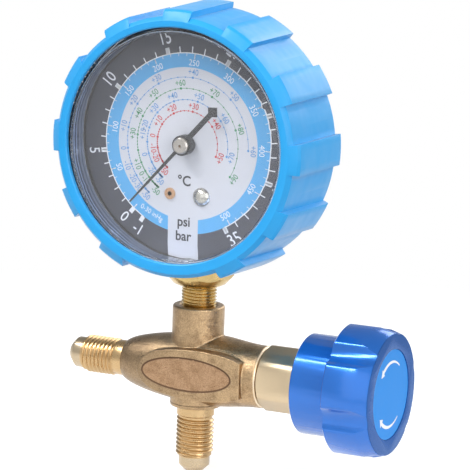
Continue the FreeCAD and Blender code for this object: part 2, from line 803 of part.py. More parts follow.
def make_pinion():
    """Pointer arbor with its pinion cut from the solid and the collet of the hairspring."""
    first = math.radians(pivot_angle) + math.pi / pinion_teeth
    ring = gear_points(pinion_teeth, 0.8 * module, 1.1 * module, first, pinion_teeth)
    pts = [V(r * math.sin(a), pinion_y, gauge_z + r * math.cos(a)) for r, a in ring]
    gear = Part.Face(Part.makePolygon(pts + [pts[0]])).extrude(V(0, pinion_wide, 0))
    arbor = cyl_y(pointer_y - 0.6, back_plate_y + plate_t + 0.4, arbor_r)
    collet = cyl_y(collet_y, collet_y + collet_t, collet_r)
    return arbor.fuse([gear, collet])


def make_sector():
    """Toothed sector: hub and arbor, two spokes, rim with involute teeth, tail."""
    px, pz = pivot()
    mesh = math.radians(pivot_angle + 180.0)
    step = 2.0 * math.pi / sector_teeth
    teeth = gear_points(sector_teeth, 0.6 * module, 1.1 * module, mesh - step, 11)
    rim_in = module * sector_teeth / 2.0 - 2.2
    a0, a1 = teeth[0][1], teeth[-1][1]
    inner = [(rim_in, a1 - (a1 - a0) * i / 8.0) for i in range(9)]
    y0, t = sector_y, sector_t

    def point(r, a):
        return V(px + r * math.sin(a), y0, gauge_z + pz + r * math.cos(a))

    pts = [point(r, a) for r, a in teeth + inner]
    rim = Part.Face(Part.makePolygon(pts + [pts[0]])).extrude(V(0, t, 0))
    spokes = []
    for a, turn in ((a0, 1), (a1, -1)):
        side = 1.5 / rim_in * turn
        ends = [point(1.2, a - math.pi / 2), point(rim_in + 0.5, a)]
        ends += [point(rim_in + 0.5, a + side), point(1.2, a + math.pi / 2)]
        spokes.append(Part.Face(Part.makePolygon(ends + [ends[0]])).extrude(V(0, t, 0)))
    tx, tz = at_dial(tail_len, tail_angle)
    hub = cyl_y(y0, y0 + t, sector_hub_r, px, gauge_z + pz)
    end = cyl_y(y0, y0 + t, 1.3, px + tx, gauge_z + pz + tz)
    nx, nz = tz / tail_len * 1.1, -tx / tail_len * 1.1
    bar = [V(px + nx, y0, gauge_z + pz + nz), V(px - nx, y0, gauge_z + pz - nz)]
    bar += [V(px + tx - nx, y0, gauge_z + pz + tz - nz)]
    bar += [V(px + tx + nx, y0, gauge_z + pz + tz + nz)]
    tail = Part.Face(Part.makePolygon(bar + [bar[0]])).extrude(V(0, t, 0))
    arbor = cyl_y(front_plate_y + 0.2, back_plate_y + plate_t + 0.4, arbor_r, px, gauge_z + pz)
    sector = rim.fuse(spokes + [hub, end, tail, arbor])
    return sector.cut(cyl_y(y0 - 1, y0 + t + 1, pin_r + 0.02, px + tx, gauge_z + pz + tz))


def tail_pin_place():
    px, pz = pivot()
    tx, tz = at_dial(tail_len, tail_angle)
    return px + tx, gauge_z + pz + tz


def make_sector_pin():
    x, z = tail_pin_place()
    return cyl_y(-5.3, link_y + link_t + 0.3, pin_r, x, z)


def link_line_z():
    """Height of the link at rest, a little under the tail pin, which swings in an arc."""
    return tail_pin_place()[1] - tail_arc_sag / 2.0


def make_link():
    """Flat link from the tube tip to the sector tail, with the looser eye at the tail."""
    x0, z0 = tail_pin_place()[0], link_line_z()
    bar = box(x0, tip_pin_x, link_y, link_y + link_t, z0 - 0.8, z0 + 0.8)
    eyes = [cyl_y(link_y, link_y + link_t, 1.6, x0, z0)]
    eyes.append(cyl_y(link_y, link_y + link_t, 1.3, tip_pin_x, z0))
    link = bar.fuse(eyes)
    link = link.cut(cyl_y(link_y - 1, link_y + 2, pin_r + open_pivot_gap, x0, z0))
    link = link.cut(cyl_y(link_y - 1, link_y + 2, pin_r + fit_gap, tip_pin_x, z0))
    rise = math.atan2(tail_pin_place()[1] - z0, tip_pin_x - x0)
    link.rotate(V(tip_pin_x, 0, z0), V(0, 1, 0), math.degrees(rise))
    return link


def make_tube_tip():
    """Closed end piece of the pressure tube with its link pin."""
    end = tube_start + tube_sweep
    x, z = at_dial(tube_r, end)
    a = math.radians(end)
    along = V(math.cos(a), 0, -math.sin(a))
    out = V(math.sin(a), 0, math.cos(a))
    centre = V(x, tube_y - tube_wide / 2.0, gauge_z + z)
    pts = [centre + out * 2.2, centre + along * 4.6 + out * 2.2]
    pts += [centre + along * 6.2, centre + along * 4.6 - out * 3.0, centre - out * 2.2]
    tip = Part.Face(Part.makePolygon(pts + [pts[0]])).extrude(V(0, tube_wide, 0))
    z0 = link_line_z()
    reach = V(tip_pin_x, centre.y, z0) - centre
    side = V(reach.z, 0, -reach.x).normalize() * tip_arm
    root = centre + reach * 0.1
    pts = [root + side, centre + reach + side, centre + reach - side, root - side]
    arm = Part.Face(Part.makePolygon(pts + [pts[0]])).extrude(V(0, tube_wide / 2.0 + 1.0, 0))
    boss = cyl_y(tube_y - tube_wide / 2.0, tube_y + 1.0, 1.5, tip_pin_x, z0)
    tip = tip.fuse([arm, boss])
    pin = cyl_y(link_y - 0.3, tube_y - tube_wide / 2.0 + 0.5, pin_r, tip_pin_x, z0)
    washer = cyl_y(link_y + link_t + 0.1, tube_y - tube_wide / 2.0 + 0.1, 1.0, tip_pin_x, z0)
    return tip.fuse([pin, washer])


def make_hairspring():
    """Flat spiral of half turns from the collet out to its stud."""
    y0, y1 = -7.4, -6.8
    r = spring_start_r + spring_t / 2.0
    centre = 0.0
    halves = []
    for i in range(spring_halves):
        z = gauge_z
        outer = cyl_y(y0, y1, r + spring_t / 2.0, centre, z)
        half = outer.cut(cyl_y(y0 - 1, y1 + 1, r - spring_t / 2.0, centre, z))
        low = z if i % 2 == 0 else z - 20
        halves.append(half.common(box(-20, 20, y0 - 1, y1 + 1, low, low + 20)))
        step = spring_pitch / 2.0
        centre += step if i % 2 == 0 else -step
        r += step
    tab = box(collet_r + 0.02, spring_start_r + spring_t, y0, y1, gauge_z - 0.2, gauge_z + 0.1)
    return halves[0].fuse(halves[1:] + [tab])


def make_hairspring_stud():
    """Block on the front plate that holds the outer end of the hairspring."""
    x = spring_start_r + spring_t / 2.0 + spring_pitch / 2.0 * spring_halves
    return box(x - 0.5, x + 0.5, front_plate_y + plate_t, -6.6, gauge_z, gauge_z + 1.0)


def make_pointer():
    """Black needle with a square tail block on a round hub, at its rest reading."""
    y0, y1 = pointer_y, pointer_y + pointer_t
    tip, tail = pointer_tip, -pointer_tail
    half = [(0.22, tip), (0.5, 2.0), (0.75, -2.0), (0.75, tail + 3.0)]
    half += [(tail_block, tail + tail_block), (0.0, tail)]
    pts = [V(x, y0, gauge_z + z) for x, z in half]
    pts += [V(-x, y0, gauge_z + z) for x, z in reversed(half[:-1])]
    needle = Part.Face(Part.makePolygon(pts + [pts[0]])).extrude(V(0, pointer_t, 0))
    hub = cyl_y(y1 - 0.1, dial_y - 0.9, hub_r)
    bush = cyl_y(y0, y1, hub_r)
    pointer = needle.fuse([bush, hub])
    pointer = pointer.cut(cyl_y(y0 - 1, dial_y, arbor_r + 0.02))
    pointer.rotate(V(0, 0, gauge_z), V(0, 1, 0), rest_angle)
    return pointer


def make_pointer_cap():
    """Bright turned cap over the end of the pointer arbor."""
    y0 = pointer_y
    cap = turned_y([(0, y0), (cap_r, y0), (cap_r, y0 - 0.7), (cap_r - 0.4, y0 - 1.1),
                    (0.35, y0 - 1.1), (0.0, y0 - 0.8)])
    return cap.cut(cyl_y(y0 - 0.65, y0 + 1, arbor_r + 0.02))


save("manifold_body", make_body())
save("valve_bonnet", make_bonnet())
save("bonnet_seal", make_bonnet_seal())
save("valve_spindle", make_spindle())
save("spindle_seals", make_spindle_seals())
save("seat_holder", make_seat_holder())
save("seat_disc", make_seat_disc())
save("knob", make_knob())
save("knob_screw", make_knob_screw())
save("knob_label", make_knob_label())
save("gauge_socket", make_socket())
save("restrictor", make_restrictor())
save("gauge_case", make_case())
save("case_screws", make_case_screws())
save("gauge_boot", make_boot())
save("window", make_window())
save("window_gasket", make_window_gasket())
save("dial_plate", make_dial())
save("dial_screw", make_dial_screw())
save("dial_eyelet", make_dial_eyelet())
save("front_plate", make_front_plate())
save("back_plate", make_back_plate())
save("plate_pillars", make_pillars())
save("movement_screws", make_movement_screws())
save("pinion_arbor", make_pinion())
save("sector_gear", make_sector())
save("sector_pin", make_sector_pin())
save("tip_link", make_link())
save("tube_tip", make_tube_tip())
save("bourdon_tube", make_bourdon_tube())
save("hairspring", make_hairspring())
save("hairspring_stud", make_hairspring_stud())
save("pointer", make_pointer())
save("pointer_cap", make_pointer_cap())
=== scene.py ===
import bpy
import bmesh
import math
from mathutils import Matrix, Vector


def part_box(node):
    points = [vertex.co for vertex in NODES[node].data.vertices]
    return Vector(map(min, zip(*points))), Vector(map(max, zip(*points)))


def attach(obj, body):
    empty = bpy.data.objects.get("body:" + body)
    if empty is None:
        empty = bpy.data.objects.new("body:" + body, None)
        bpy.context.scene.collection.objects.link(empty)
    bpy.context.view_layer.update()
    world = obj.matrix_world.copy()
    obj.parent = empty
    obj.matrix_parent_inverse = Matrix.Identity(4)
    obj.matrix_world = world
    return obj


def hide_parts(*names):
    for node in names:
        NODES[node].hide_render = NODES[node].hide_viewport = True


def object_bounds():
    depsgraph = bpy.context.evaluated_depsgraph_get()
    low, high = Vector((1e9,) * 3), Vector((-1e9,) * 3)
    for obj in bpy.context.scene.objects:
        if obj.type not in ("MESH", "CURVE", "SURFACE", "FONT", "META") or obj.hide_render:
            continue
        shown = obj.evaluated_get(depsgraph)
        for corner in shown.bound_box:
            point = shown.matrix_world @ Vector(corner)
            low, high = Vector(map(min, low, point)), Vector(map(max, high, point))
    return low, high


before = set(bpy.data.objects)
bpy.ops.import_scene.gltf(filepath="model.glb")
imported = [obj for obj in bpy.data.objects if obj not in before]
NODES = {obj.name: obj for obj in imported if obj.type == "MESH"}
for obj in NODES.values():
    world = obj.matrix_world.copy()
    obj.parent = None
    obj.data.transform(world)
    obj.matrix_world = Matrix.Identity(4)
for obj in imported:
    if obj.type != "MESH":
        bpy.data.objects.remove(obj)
cad_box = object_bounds()
MM = 0.001
X_AXIS, Z_AXIS = (1.0, 0.0, 0.0), (0.0, 0.0, 1.0)

# places and sizes that follow the CAD, in millimetres
VALVE_Z, GAUGE_Z = 26.0, 93.3
DIAL_Y = -10.0
LEFT_THREAD_END, LEFT_SHANK_X = -36.2, -22.65
COLLAR_Z, COLLAR_R, COLLAR_BEVEL = 15.0, 7.6, 0.3
CASE_INNER_R, CASE_BACK_Y = 34.65, 5.65
KNOB_LABEL_X = 61.13

# the oval on both faces of the forging, and the seat of the bonnet, in millimetres
FACE_Y = 9.6
OVAL_X, OVAL_HALF_LENGTH, OVAL_HALF_HEIGHT = 1.35, 14.45, 4.85
SEAT_X = 22.3

# threads of the ports (7/16-20) and of the stem (1/8 inch taper), in millimetres
PORT_ROOT_R, PORT_CREST_R, PORT_PITCH, PORT_BORE_R = 4.98, 5.5, 1.27, 2.0
NOSE_Z = -4.5
STEM_ROOT_R, STEM_RELIEF, STEM_PITCH = 4.46, 0.56, 0.94

# camera, fitted to the photograph, in degrees and millimetres; its range is in metres
AZIMUTH, ELEVATION, ROLL = 25.098, 10.319, 1.907
DISTANCE, LENS, SENSOR = 863.264, 228.43, 36.0
AIM_RIGHT, AIM_Z = 9.793, 65.703
NEAR, FAR = 0.05, 20.0

# dial scale, in degrees clockwise from the top: the angle of 0 bar and of one bar
ZERO_ANGLE, BAR_STEP = -140.2, 8.346
PSI_IN_BAR, AIR_BAR, KELVIN = 14.504, 1.013, 273.15

# merge distances for meshes and depth of the finest relief, in metres, and the bend in
# radians below which a CAD face counts as flat
CAD_WELD, WELD = 1e-6, 1e-7
GRAIN_DEPTH = 0.0002
FLAT_BEND = 0.002


def show(obj):
    bpy.context.scene.collection.objects.link(obj)


def link(obj, body):
    show(obj)
    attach(obj, body)


def make_camera():
    """Camera fitted to the photograph, rolled about its line of sight."""
    az, el, roll = (math.radians(v) for v in (AZIMUTH, ELEVATION, ROLL))
    back = Vector((math.sin(az) * math.cos(el), -math.cos(az) * math.cos(el), math.sin(el)))
    right = Vector((math.cos(az), math.sin(az), 0.0))
    up = back.cross(right)
    rolled_right = right * math.cos(roll) + up * math.sin(roll)
    rolled_up = up * math.cos(roll) - right * math.sin(roll)
    data = bpy.data.cameras.new("camera")
    data.lens, data.sensor_width = LENS, SENSOR
    data.clip_start, data.clip_end = NEAR, FAR
    camera = bpy.data.objects.new("camera", data)
    show(camera)
    turn = Matrix((rolled_right, rolled_up, back)).transposed().to_4x4()
    aim = right * AIM_RIGHT * MM + Vector((0, 0, AIM_Z * MM))
    camera.matrix_world = Matrix.Translation(aim + back * DISTANCE * MM) @ turn
    bpy.context.scene.camera = camera


# ---- node helpers

def socket(tree, name, kind, where, value=None):
    s = tree.interface.new_socket(name=name, in_out=where, socket_type="NodeSocket" + kind)
    if value is not None:
        s.default_value = value


class Tree:
    """Short-hand for building a node tree."""

    def __init__(self, tree):
        self.tree = tree

    def node(self, kind, **settings):
        n = self.tree.nodes.new(kind)
        for k, v in settings.items():
            setattr(n, k, v)
        return n

    def put(self, target, value):
        if isinstance(value, bpy.types.NodeSocket):
            self.tree.links.new(value, target)
        else:
            target.default_value = value

    def math(self, op, a, b=0.0, c=None):
        n = self.node("ShaderNodeMath", operation=op)
        self.put(n.inputs[0], a)
        self.put(n.inputs[1], b)
        if c is not None:
            self.put(n.inputs[2], c)
        return n.outputs[0]

    def plus(self, a, b):
        return self.math("ADD", a, b)

    def minus(self, a, b):
        return self.math("SUBTRACT", a, b)

    def times(self, a, b):
        return self.math("MULTIPLY", a, b)

    def over(self, a, b):
        return self.math("DIVIDE", a, b)

    def length(self, a, b):
        """Length of the diagonal over two sides."""
        return self.math("SQRT", self.plus(self.times(a, a), self.times(b, b)))

    def place(self):
        """Object coordinates, in metres."""
        return self.node("ShaderNodeTexCoord").outputs["Object"]

    def split(self, vector):
        n = self.node("ShaderNodeSeparateXYZ")
        self.put(n.inputs[0], vector)
        return n.outputs[0], n.outputs[1], n.outputs[2]

    def join(self, x=0.0, y=0.0, z=0.0):
        n = self.node("ShaderNodeCombineXYZ")
        for i, v in enumerate((x, y, z)):
            self.put(n.inputs[i], v)
        return n.outputs[0]

    def mix(self, factor, a, b, blend="MIX"):
        n = self.node("ShaderNodeMix", data_type="RGBA", blend_type=blend)
        self.put(n.inputs[0], factor)
        self.put(n.inputs[6], a)
        self.put(n.inputs[7], b)
        return n.outputs[2]

    def ramp(self, value, low, high, first=0.0, last=1.0):
        """Runs from first to last while the value runs from low to high."""
        n = self.node("ShaderNodeMapRange", clamp=True)
        for i, v in enumerate((value, low, high, first, last)):
            self.put(n.inputs[i], v)
        return n.outputs[0]

    def noise(self, vector, scale, detail=3.0, rough=0.5):
        n = self.node("ShaderNodeTexNoise")
        self.put(n.inputs["Vector"], vector)
        self.put(n.inputs["Scale"], scale)
        n.inputs["Detail"].default_value = detail
        n.inputs["Roughness"].default_value = rough
        return n.outputs["Fac"]

    def bump(self, height, strength, distance, normal=None):
        n = self.node("ShaderNodeBump")
        self.put(n.inputs["Height"], height)
        self.put(n.inputs["Strength"], strength)
        n.inputs["Distance"].default_value = distance
        if normal is not None:
            self.put(n.inputs["Normal"], normal)
        return n.outputs["Normal"]


# ---- shared effects

def new_effect(name, ins, outs):
    """New shader group: its tree, the sockets it is given and the sockets it puts out."""
    tree = bpy.data.node_groups.new(name, "ShaderNodeTree")
    for label, kind, value in ins:
        socket(tree, label, kind, "INPUT", value)
    for label, kind in outs:
        socket(tree, label, kind, "OUTPUT")
    t = Tree(tree)
    return t, t.node("NodeGroupInput").outputs, t.node("NodeGroupOutput").inputs


def make_effects():
    """Shared effects: cloudy colour, fine grain, and turned marks along an axis."""
    t, given, made = new_effect(
        "cloudy", [("Colour", "Color", (1, 1, 1, 1)), ("Scale", "Float", 100.0),
                   ("Amount", "Float", 0.1)], [("Colour", "Color"), ("Value", "Float")])
    where = t.place()
    big = t.noise(where, given["Scale"], detail=4.0, rough=0.6)
    small = t.noise(where, t.times(given["Scale"], 9.0), detail=2.0)
    both = t.plus(t.times(big, 0.7), t.times(small, 0.3))
    centred = t.times(t.minus(both, 0.5), 2.0)
    tone = t.node("ShaderNodeHueSaturation")
    t.put(tone.inputs["Color"], given["Colour"])
    t.put(tone.inputs["Value"], t.plus(1.0, t.times(centred, given["Amount"])))
    t.put(made["Colour"], tone.outputs[0])
    t.put(made["Value"], both)

    t, given, made = new_effect(
        "grain", [("Scale", "Float", 2000.0), ("Strength", "Float", 0.2)],
        [("Normal", "Vector"), ("Value", "Float")])
    fine = t.noise(t.place(), given["Scale"], rough=0.6)
    t.put(made["Normal"], t.bump(fine, given["Strength"], GRAIN_DEPTH))
    t.put(made["Value"], fine)

    t, given, made = new_effect(
        "turned", [("Axis", "Vector", Z_AXIS), ("Scale", "Float", 3000.0),
                   ("Strength", "Float", 0.1)], [("Normal", "Vector"), ("Value", "Float")])
    dot = t.node("ShaderNodeVectorMath", operation="DOT_PRODUCT")
    t.put(dot.inputs[0], t.place())
    t.put(dot.inputs[1], given["Axis"])
    along = t.join(t.times(dot.outputs["Value"], given["Scale"]))
    marks = t.noise(along, 1.0)
    t.put(made["Normal"], t.bump(marks, given["Strength"], GRAIN_DEPTH))
    t.put(made["Value"], marks)


def effect(t, name, **values):
    n = t.node("ShaderNodeGroup")
    n.node_tree = bpy.data.node_groups[name]
    for k, v in values.items():
        t.put(n.inputs[k], v)
    return n.outputs


# ---- materials

def new_material(name):
    material = bpy.data.materials.new(name)
    material.use_nodes = True
    return material


def nodes_of(material):
    """Tree and Principled node of a material."""
    return Tree(material.node_tree), material.node_tree.nodes["Principled BSDF"]


def shader(name, colour, roughness, metallic, cloud, grain=None, turned=None, spread=0.08,
           **settings):
    """Principled material: cloudy colour, uneven roughness, and grain or turned marks.

    cloud is scale and amount, grain is scale and strength, turned is axis, scale and strength.
    """
    material = new_material(name)
    t, skin = nodes_of(material)
    skin.inputs["Metallic"].default_value = metallic
    for k, v in settings.items():
        skin.inputs[k.replace("_", " ")].default_value = v
    cloudy = effect(t, "cloudy", Colour=(*colour, 1.0), Scale=cloud[0], Amount=cloud[1])
    t.put(skin.inputs["Base Color"], cloudy["Colour"])
    t.put(skin.inputs["Roughness"], t.ramp(cloudy["Value"], 0.25, 0.75,
                                           roughness - spread, roughness + spread))
    if grain:
        marks = effect(t, "grain", Scale=grain[0], Strength=grain[1])
        t.put(skin.inputs["Normal"], marks["Normal"])
    if turned:
        marks = effect(t, "turned", Axis=turned[0], Scale=turned[1], Strength=turned[2])
        t.put(skin.inputs["Normal"], marks["Normal"])
    return material


def source(skin, name):
    """What feeds a socket of the Principled node so far."""
    return skin.inputs[name].links[0].from_socket


def tint(t, skin, mask, colour):
    """Paints the skin with another colour where the mask is 1."""
    t.put(skin.inputs["Base Color"], t.mix(mask, source(skin, "Base Color"), colour))


def spots(t, where, scale, low, high, share, detail=3.0, rough=0.6):
    """Mask of soft spots: noise that rises from 0 at low to its full share at high."""
    return t.times(t.ramp(t.noise(where, scale, detail, rough), low, high), share)


def forged_brass():
    """Forged skin: matte, grainy and mottled, with a pinker oval in a dark line on both faces,
    painted shade towards the left and a painted highlight at the bonnet seat.
    """
    brown_stain, pale_speck = (0.19, 0.12, 0.065, 1), (0.66, 0.48, 0.31, 1)
    painted_left_shade, painted_rim_highlight = (0.21, 0.15, 0.095, 1), (0.86, 0.72, 0.52, 1)
    pink, pink_patch = (0.43, 0.27, 0.157, 1), (0.28, 0.165, 0.088, 1)
    dark_line, line_outer, line_inner = (0.10, 0.045, 0.02, 1), 0.36 * MM, 0.17 * MM
    line_rough, line_metal, line_share = 0.8, 0.3, 0.9
    shade_from, shade_to, shade_share = 4.0 * MM, -14.0 * MM, 0.6

    material = shader("forged_brass", (0.46, 0.315, 0.175), 0.32, 1.0, (160.0, 0.28))
    t, skin = nodes_of(material)
    where = t.place()
    x, y, z = t.split(where)
    face = t.math("GREATER_THAN", t.math("ABSOLUTE", y), FACE_Y * MM)

    # away is 0 in the middle of the oval and 1 on its edge, off is the distance from its line
    dx = t.over(t.minus(x, OVAL_X * MM), OVAL_HALF_LENGTH * MM)
    dz = t.over(t.minus(z, VALVE_Z * MM), OVAL_HALF_HEIGHT * MM)
    away = t.length(dx, dz)
    inside = t.times(t.ramp(away, 0.99, 0.95), face)
    slope = t.length(t.over(dx, OVAL_HALF_LENGTH * MM), t.over(dz, OVAL_HALF_HEIGHT * MM))
    off = t.math("ABSOLUTE", t.over(t.minus(away, 0.98), slope))
    line = t.times(t.ramp(off, line_outer, line_inner), face)
    old_rough = source(skin, "Roughness")
    t.put(skin.inputs["Roughness"], t.ramp(line, 0.0, 1.0, old_rough, line_rough))
    t.put(skin.inputs["Metallic"], t.ramp(line, 0.0, 1.0, 1.0, line_metal))

    stains = spots(t, where, 210.0, low=0.46, high=0.68, share=0.7, detail=5.0, rough=0.65)
    specks = spots(t, where, 4200.0, low=0.5, high=0.7, share=0.45)
    patches = spots(t, where, 420.0, low=0.4, high=0.66, share=0.75, detail=5.0)
    salt = t.ramp(t.noise(where, 2800.0, rough=0.6), 0.35, 0.65, first=0.76, last=1.16)
    tint(t, skin, stains, brown_stain)
    tint(t, skin, specks, pale_speck)
    # painted shade: the forging's colour darkens towards the left
    tint(t, skin, t.times(t.ramp(x, shade_from, shade_to), shade_share), painted_left_shade)
    tint(t, skin, inside, t.mix(patches, pink, pink_patch))
    t.put(skin.inputs["Base Color"], t.mix(1.0, source(skin, "Base Color"), salt, "MULTIPLY"))
    # painted highlight: a pale cream band along the forging's edge at the bonnet seat
    tint(t, skin, t.ramp(x, (SEAT_X - 0.25) * MM, SEAT_X * MM), painted_rim_highlight)
    tint(t, skin, t.times(line, line_share), dark_line)

    fine, coarse = t.noise(where, 2600.0, rough=0.65), t.noise(where, 700.0, detail=2.0)
    cast = t.bump(t.plus(t.times(fine, 0.5), t.times(coarse, 0.6)), 0.55, 2 * GRAIN_DEPTH)
    sunk = t.times(t.ramp(away, 0.975, 1.01), face)
    t.put(skin.inputs["Normal"], t.bump(sunk, 0.6, 0.0003, cast))
    return material


def machined_thread(name, axis, end):
    """Bright cut brass turned along an axis, greyer on the nose beyond the thread's end."""
    material = shader(name, (0.54, 0.37, 0.19), 0.29, 1.0, (300.0, 0.14),
                      turned=(axis, 9000.0, 0.12))
    t, skin = nodes_of(material)
    along = t.split(t.place())[axis.index(1.0)]
    tint(t, skin, t.ramp(along, end * MM, (end - 0.5) * MM), (0.50, 0.40, 0.27, 1))
    return material


def gauge_radius(t, x, z):
    """Distance from the axis of the gauge."""
    up = t.minus(z, GAUGE_Z * MM)
    return t.math("SQRT", t.math("MULTIPLY_ADD", up, up, t.times(x, x)))


def turned_cap():
    """Bright cap with painted shade in the small dimple that the turning tool left at its centre.
    """
    material = shader("cap_chrome", (0.46, 0.42, 0.38), 0.3, 1.0, (600.0, 0.06),
                      grain=(6000.0, 0.03))
    t, skin = nodes_of(material)
    x, _, z = t.split(t.place())
    # painted shade: dark brown in the centre dimple
    centre = t.ramp(gauge_radius(t, x, z), 0.45 * MM, 0.3 * MM)
    tint(t, skin, centre, (0.10, 0.06, 0.035, 1))
    return material


def anodised_knob():
    """Blue anodised aluminium, turned along its axis, duller on the faced front."""
    material = shader("knob_blue", (0.014, 0.14, 0.54), 0.25, 0.48, (140.0, 0.05),
                      turned=(X_AXIS, 2600.0, 0.06), spread=0.02, Coat_Roughness=0.12,
                      Specular_Tint=(0.35, 0.6, 1.0, 1.0))
    t, skin = nodes_of(material)
    x, _, _ = t.split(t.place())
    face_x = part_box("knob")[1].x
    front = t.ramp(x, face_x - 0.3 * MM, face_x - 0.1 * MM)
    tint(t, skin, front, (0.012, 0.075, 0.28, 1))
    t.put(skin.inputs["Coat Weight"], t.ramp(front, 0.0, 1.0, 0.8, 0.0))
    return material


def soft_boot():
    """Moulded rubber with a slightly uneven skin."""
    material = shader("boot_rubber", (0.02, 0.342, 0.745), 0.38, 0.0, (70.0, 0.05),
                      grain=(1200.0, 0.015), spread=0.06, Specular_IOR_Level=0.4,
                      Sheen_Weight=0.15, Sheen_Roughness=0.35)
    t, skin = nodes_of(material)
    uneven = t.noise(t.place(), 170.0, detail=1.0, rough=0.4)
    t.put(skin.inputs["Normal"], t.bump(uneven, 0.4, 0.0006, source(skin, "Normal")))
    return material


def painted_case():
    """Steel can, painted black outside and bare inside, where pale and dark blue streaks are
    painted reflections of the lamps and the blue boot.
    """
    steel_dark_reflection, steel_pale_reflection = (0.09, 0.13, 0.24, 1), (0.58, 0.72, 1.0, 1)
    material = shader("case_black", (0.03, 0.03, 0.033), 0.35, 0.0, (200.0, 0.15),
                      grain=(3500.0, 0.12))
    t, skin = nodes_of(material)
    x, y, z = t.split(t.place())
    inside = t.times(t.math("LESS_THAN", gauge_radius(t, x, z), CASE_INNER_R * MM),
                     t.math("LESS_THAN", y, CASE_BACK_Y * MM))
    # painted reflection: bare steel inside, tinted blue and streaked pale where the boot and
    # lamps would be mirrored
    painted_reflection_streaks = t.ramp(t.noise(y, 700.0), 0.38, 0.62)
    tint(t, skin, inside, t.mix(painted_reflection_streaks, steel_dark_reflection, steel_pale_reflection))
    t.put(skin.inputs["Metallic"], t.times(inside, 0.8))
    return material


def clear_window():
    """Clear plastic that lets light from the lamps through to the dial."""
    material = new_material("window_clear")
    t, skin = nodes_of(material)
    skin.inputs["Base Color"].default_value = (0.97, 0.985, 1.0, 1.0)
    skin.inputs["Transmission Weight"].default_value = 1.0
    skin.inputs["IOR"].default_value = 1.49
    haze = t.noise(t.place(), 90.0)
    t.put(skin.inputs["Roughness"], t.ramp(haze, 0.3, 0.8, 0.0, 0.04))
    t.put(skin.inputs["Normal"], t.bump(haze, 0.03, 0.0003))
    path = t.node("ShaderNodeLightPath")
    mix = t.node("ShaderNodeMixShader")
    t.put(mix.inputs[0], t.math("MAXIMUM", path.outputs["Is Shadow Ray"],
                                path.outputs["Is Diffuse Ray"]))
    t.put(mix.inputs[1], skin.outputs[0])
    t.put(mix.inputs[2], t.node("ShaderNodeBsdfTransparent").outputs[0])
    t.put(material.node_tree.nodes["Material Output"].inputs["Surface"], mix.outputs[0])
    return material


# plain looks: colour, roughness, metallic, cloud scale and amount, and further settings
PLAIN_LOOKS = {
    "bonnet_brass": ((0.60, 0.475, 0.315), 0.36, 1.0, (200.0, 0.08),
                     {"turned": (X_AXIS, 2600.0, 0.03), "spread": 0.04}),
    "stem_brass": ((0.58, 0.42, 0.18), 0.26, 1.0, (250.0, 0.12),
                   {"turned": (Z_AXIS, 6000.0, 0.12)}),
    "spindle_brass": ((0.62, 0.44, 0.2), 0.25, 1.0, (120.0, 0.08),
                      {"turned": (X_AXIS, 6000.0, 0.12)}),
    "inner_brass": ((0.68, 0.48, 0.2), 0.28, 1.0, (400.0, 0.1), {"grain": (3500.0, 0.06)}),
    "tube_bronze": ((0.50, 0.30, 0.15), 0.35, 1.0, (200.0, 0.18), {"grain": (3000.0, 0.08)}),
    "ptfe": ((0.85, 0.85, 0.82), 0.45, 0.0, (300.0, 0.04), {"grain": (3000.0, 0.08)}),
    "seal_rubber": ((0.025, 0.025, 0.027), 0.6, 0.0, (400.0, 0.2), {"grain": (4000.0, 0.15)}),
    "label_film": ((0.03, 0.265, 0.745), 0.5, 0.0, (300.0, 0.03),
                   {"grain": (2500.0, 0.03), "spread": 0.03, "Specular_IOR_Level": 0.15}),
    "screw_steel": ((0.47, 0.45, 0.41), 0.25, 1.0, (500.0, 0.1), {"grain": (4000.0, 0.06)}),
    "arbor_steel": ((0.6, 0.6, 0.62), 0.2, 1.0, (500.0, 0.08), {"grain": (5000.0, 0.04)}),
    "eyelet_copper": ((0.60, 0.36, 0.22), 0.3, 1.0, (600.0, 0.12), {"grain": (5000.0, 0.06)}),
    "dial_white": ((0.645, 0.655, 0.715), 0.5, 0.0, (150.0, 0.02),
                   {"grain": (5000.0, 0.02), "spread": 0.04}),
    "pointer_black": ((0.03, 0.03, 0.033), 0.42, 0.0, (500.0, 0.2), {"grain": (5000.0, 0.05)}),
}

INKS = {
    "black": (0.068, 0.07, 0.088), "white": (0.84, 0.85, 0.88), "band": (0.105, 0.42, 0.78),
    "blue": (0.12, 0.33, 0.66), "green": (0.06, 0.30, 0.14), "red": (0.62, 0.05, 0.06),
    "dark": (0.03, 0.03, 0.04), "pale": (0.85, 0.9, 0.97),
}


def make_materials():
    mats = {
        "forged_brass": forged_brass(),
        "thread_brass": machined_thread("thread_brass", Z_AXIS, 0.0),
        "thread_brass_x": machined_thread("thread_brass_x", X_AXIS, LEFT_THREAD_END),
        "cap_chrome": turned_cap(), "knob_blue": anodised_knob(), "boot_rubber": soft_boot(),
        "case_black": painted_case(), "window_clear": clear_window(),
    }
    for name, (colour, roughness, metallic, cloud, more) in PLAIN_LOOKS.items():
        mats[name] = shader(name, colour, roughness, metallic, cloud, **more)
    for name, colour in INKS.items():
        mats["ink_" + name] = shader("ink_" + name, colour, 0.5, 0.0, (600.0, 0.05),
                                     grain=(6000.0, 0.03), spread=0.04)
    return mats


# ---- mesh helpers

def finish_mesh(name, bm, material, body):
    """Makes a piece of the drawn mesh, on a body and in one of its material slots."""
    mesh = bpy.data.meshes.new(name)
    bm.to_mesh(mesh)
    bm.free()
    mesh.materials.append(material)
    obj = bpy.data.objects.new(name, mesh)
    link(obj, body)
    return obj


def solid_piece(name, bm, material, body):
    """A closed piece with smooth shading."""
    bmesh.ops.recalc_face_normals(bm, faces=bm.faces)
    obj = finish_mesh(name, bm, material, body)
    obj.data.shade_smooth()
    return obj


def flat_piece(name, bm, material, body, way):
    """Flat print, with every face turned the given way."""
    for face in bm.faces:
        face.normal_update()
        if face.normal.dot(way) < 0:
            face.normal_flip()
    finish_mesh(name, bm, material, body)


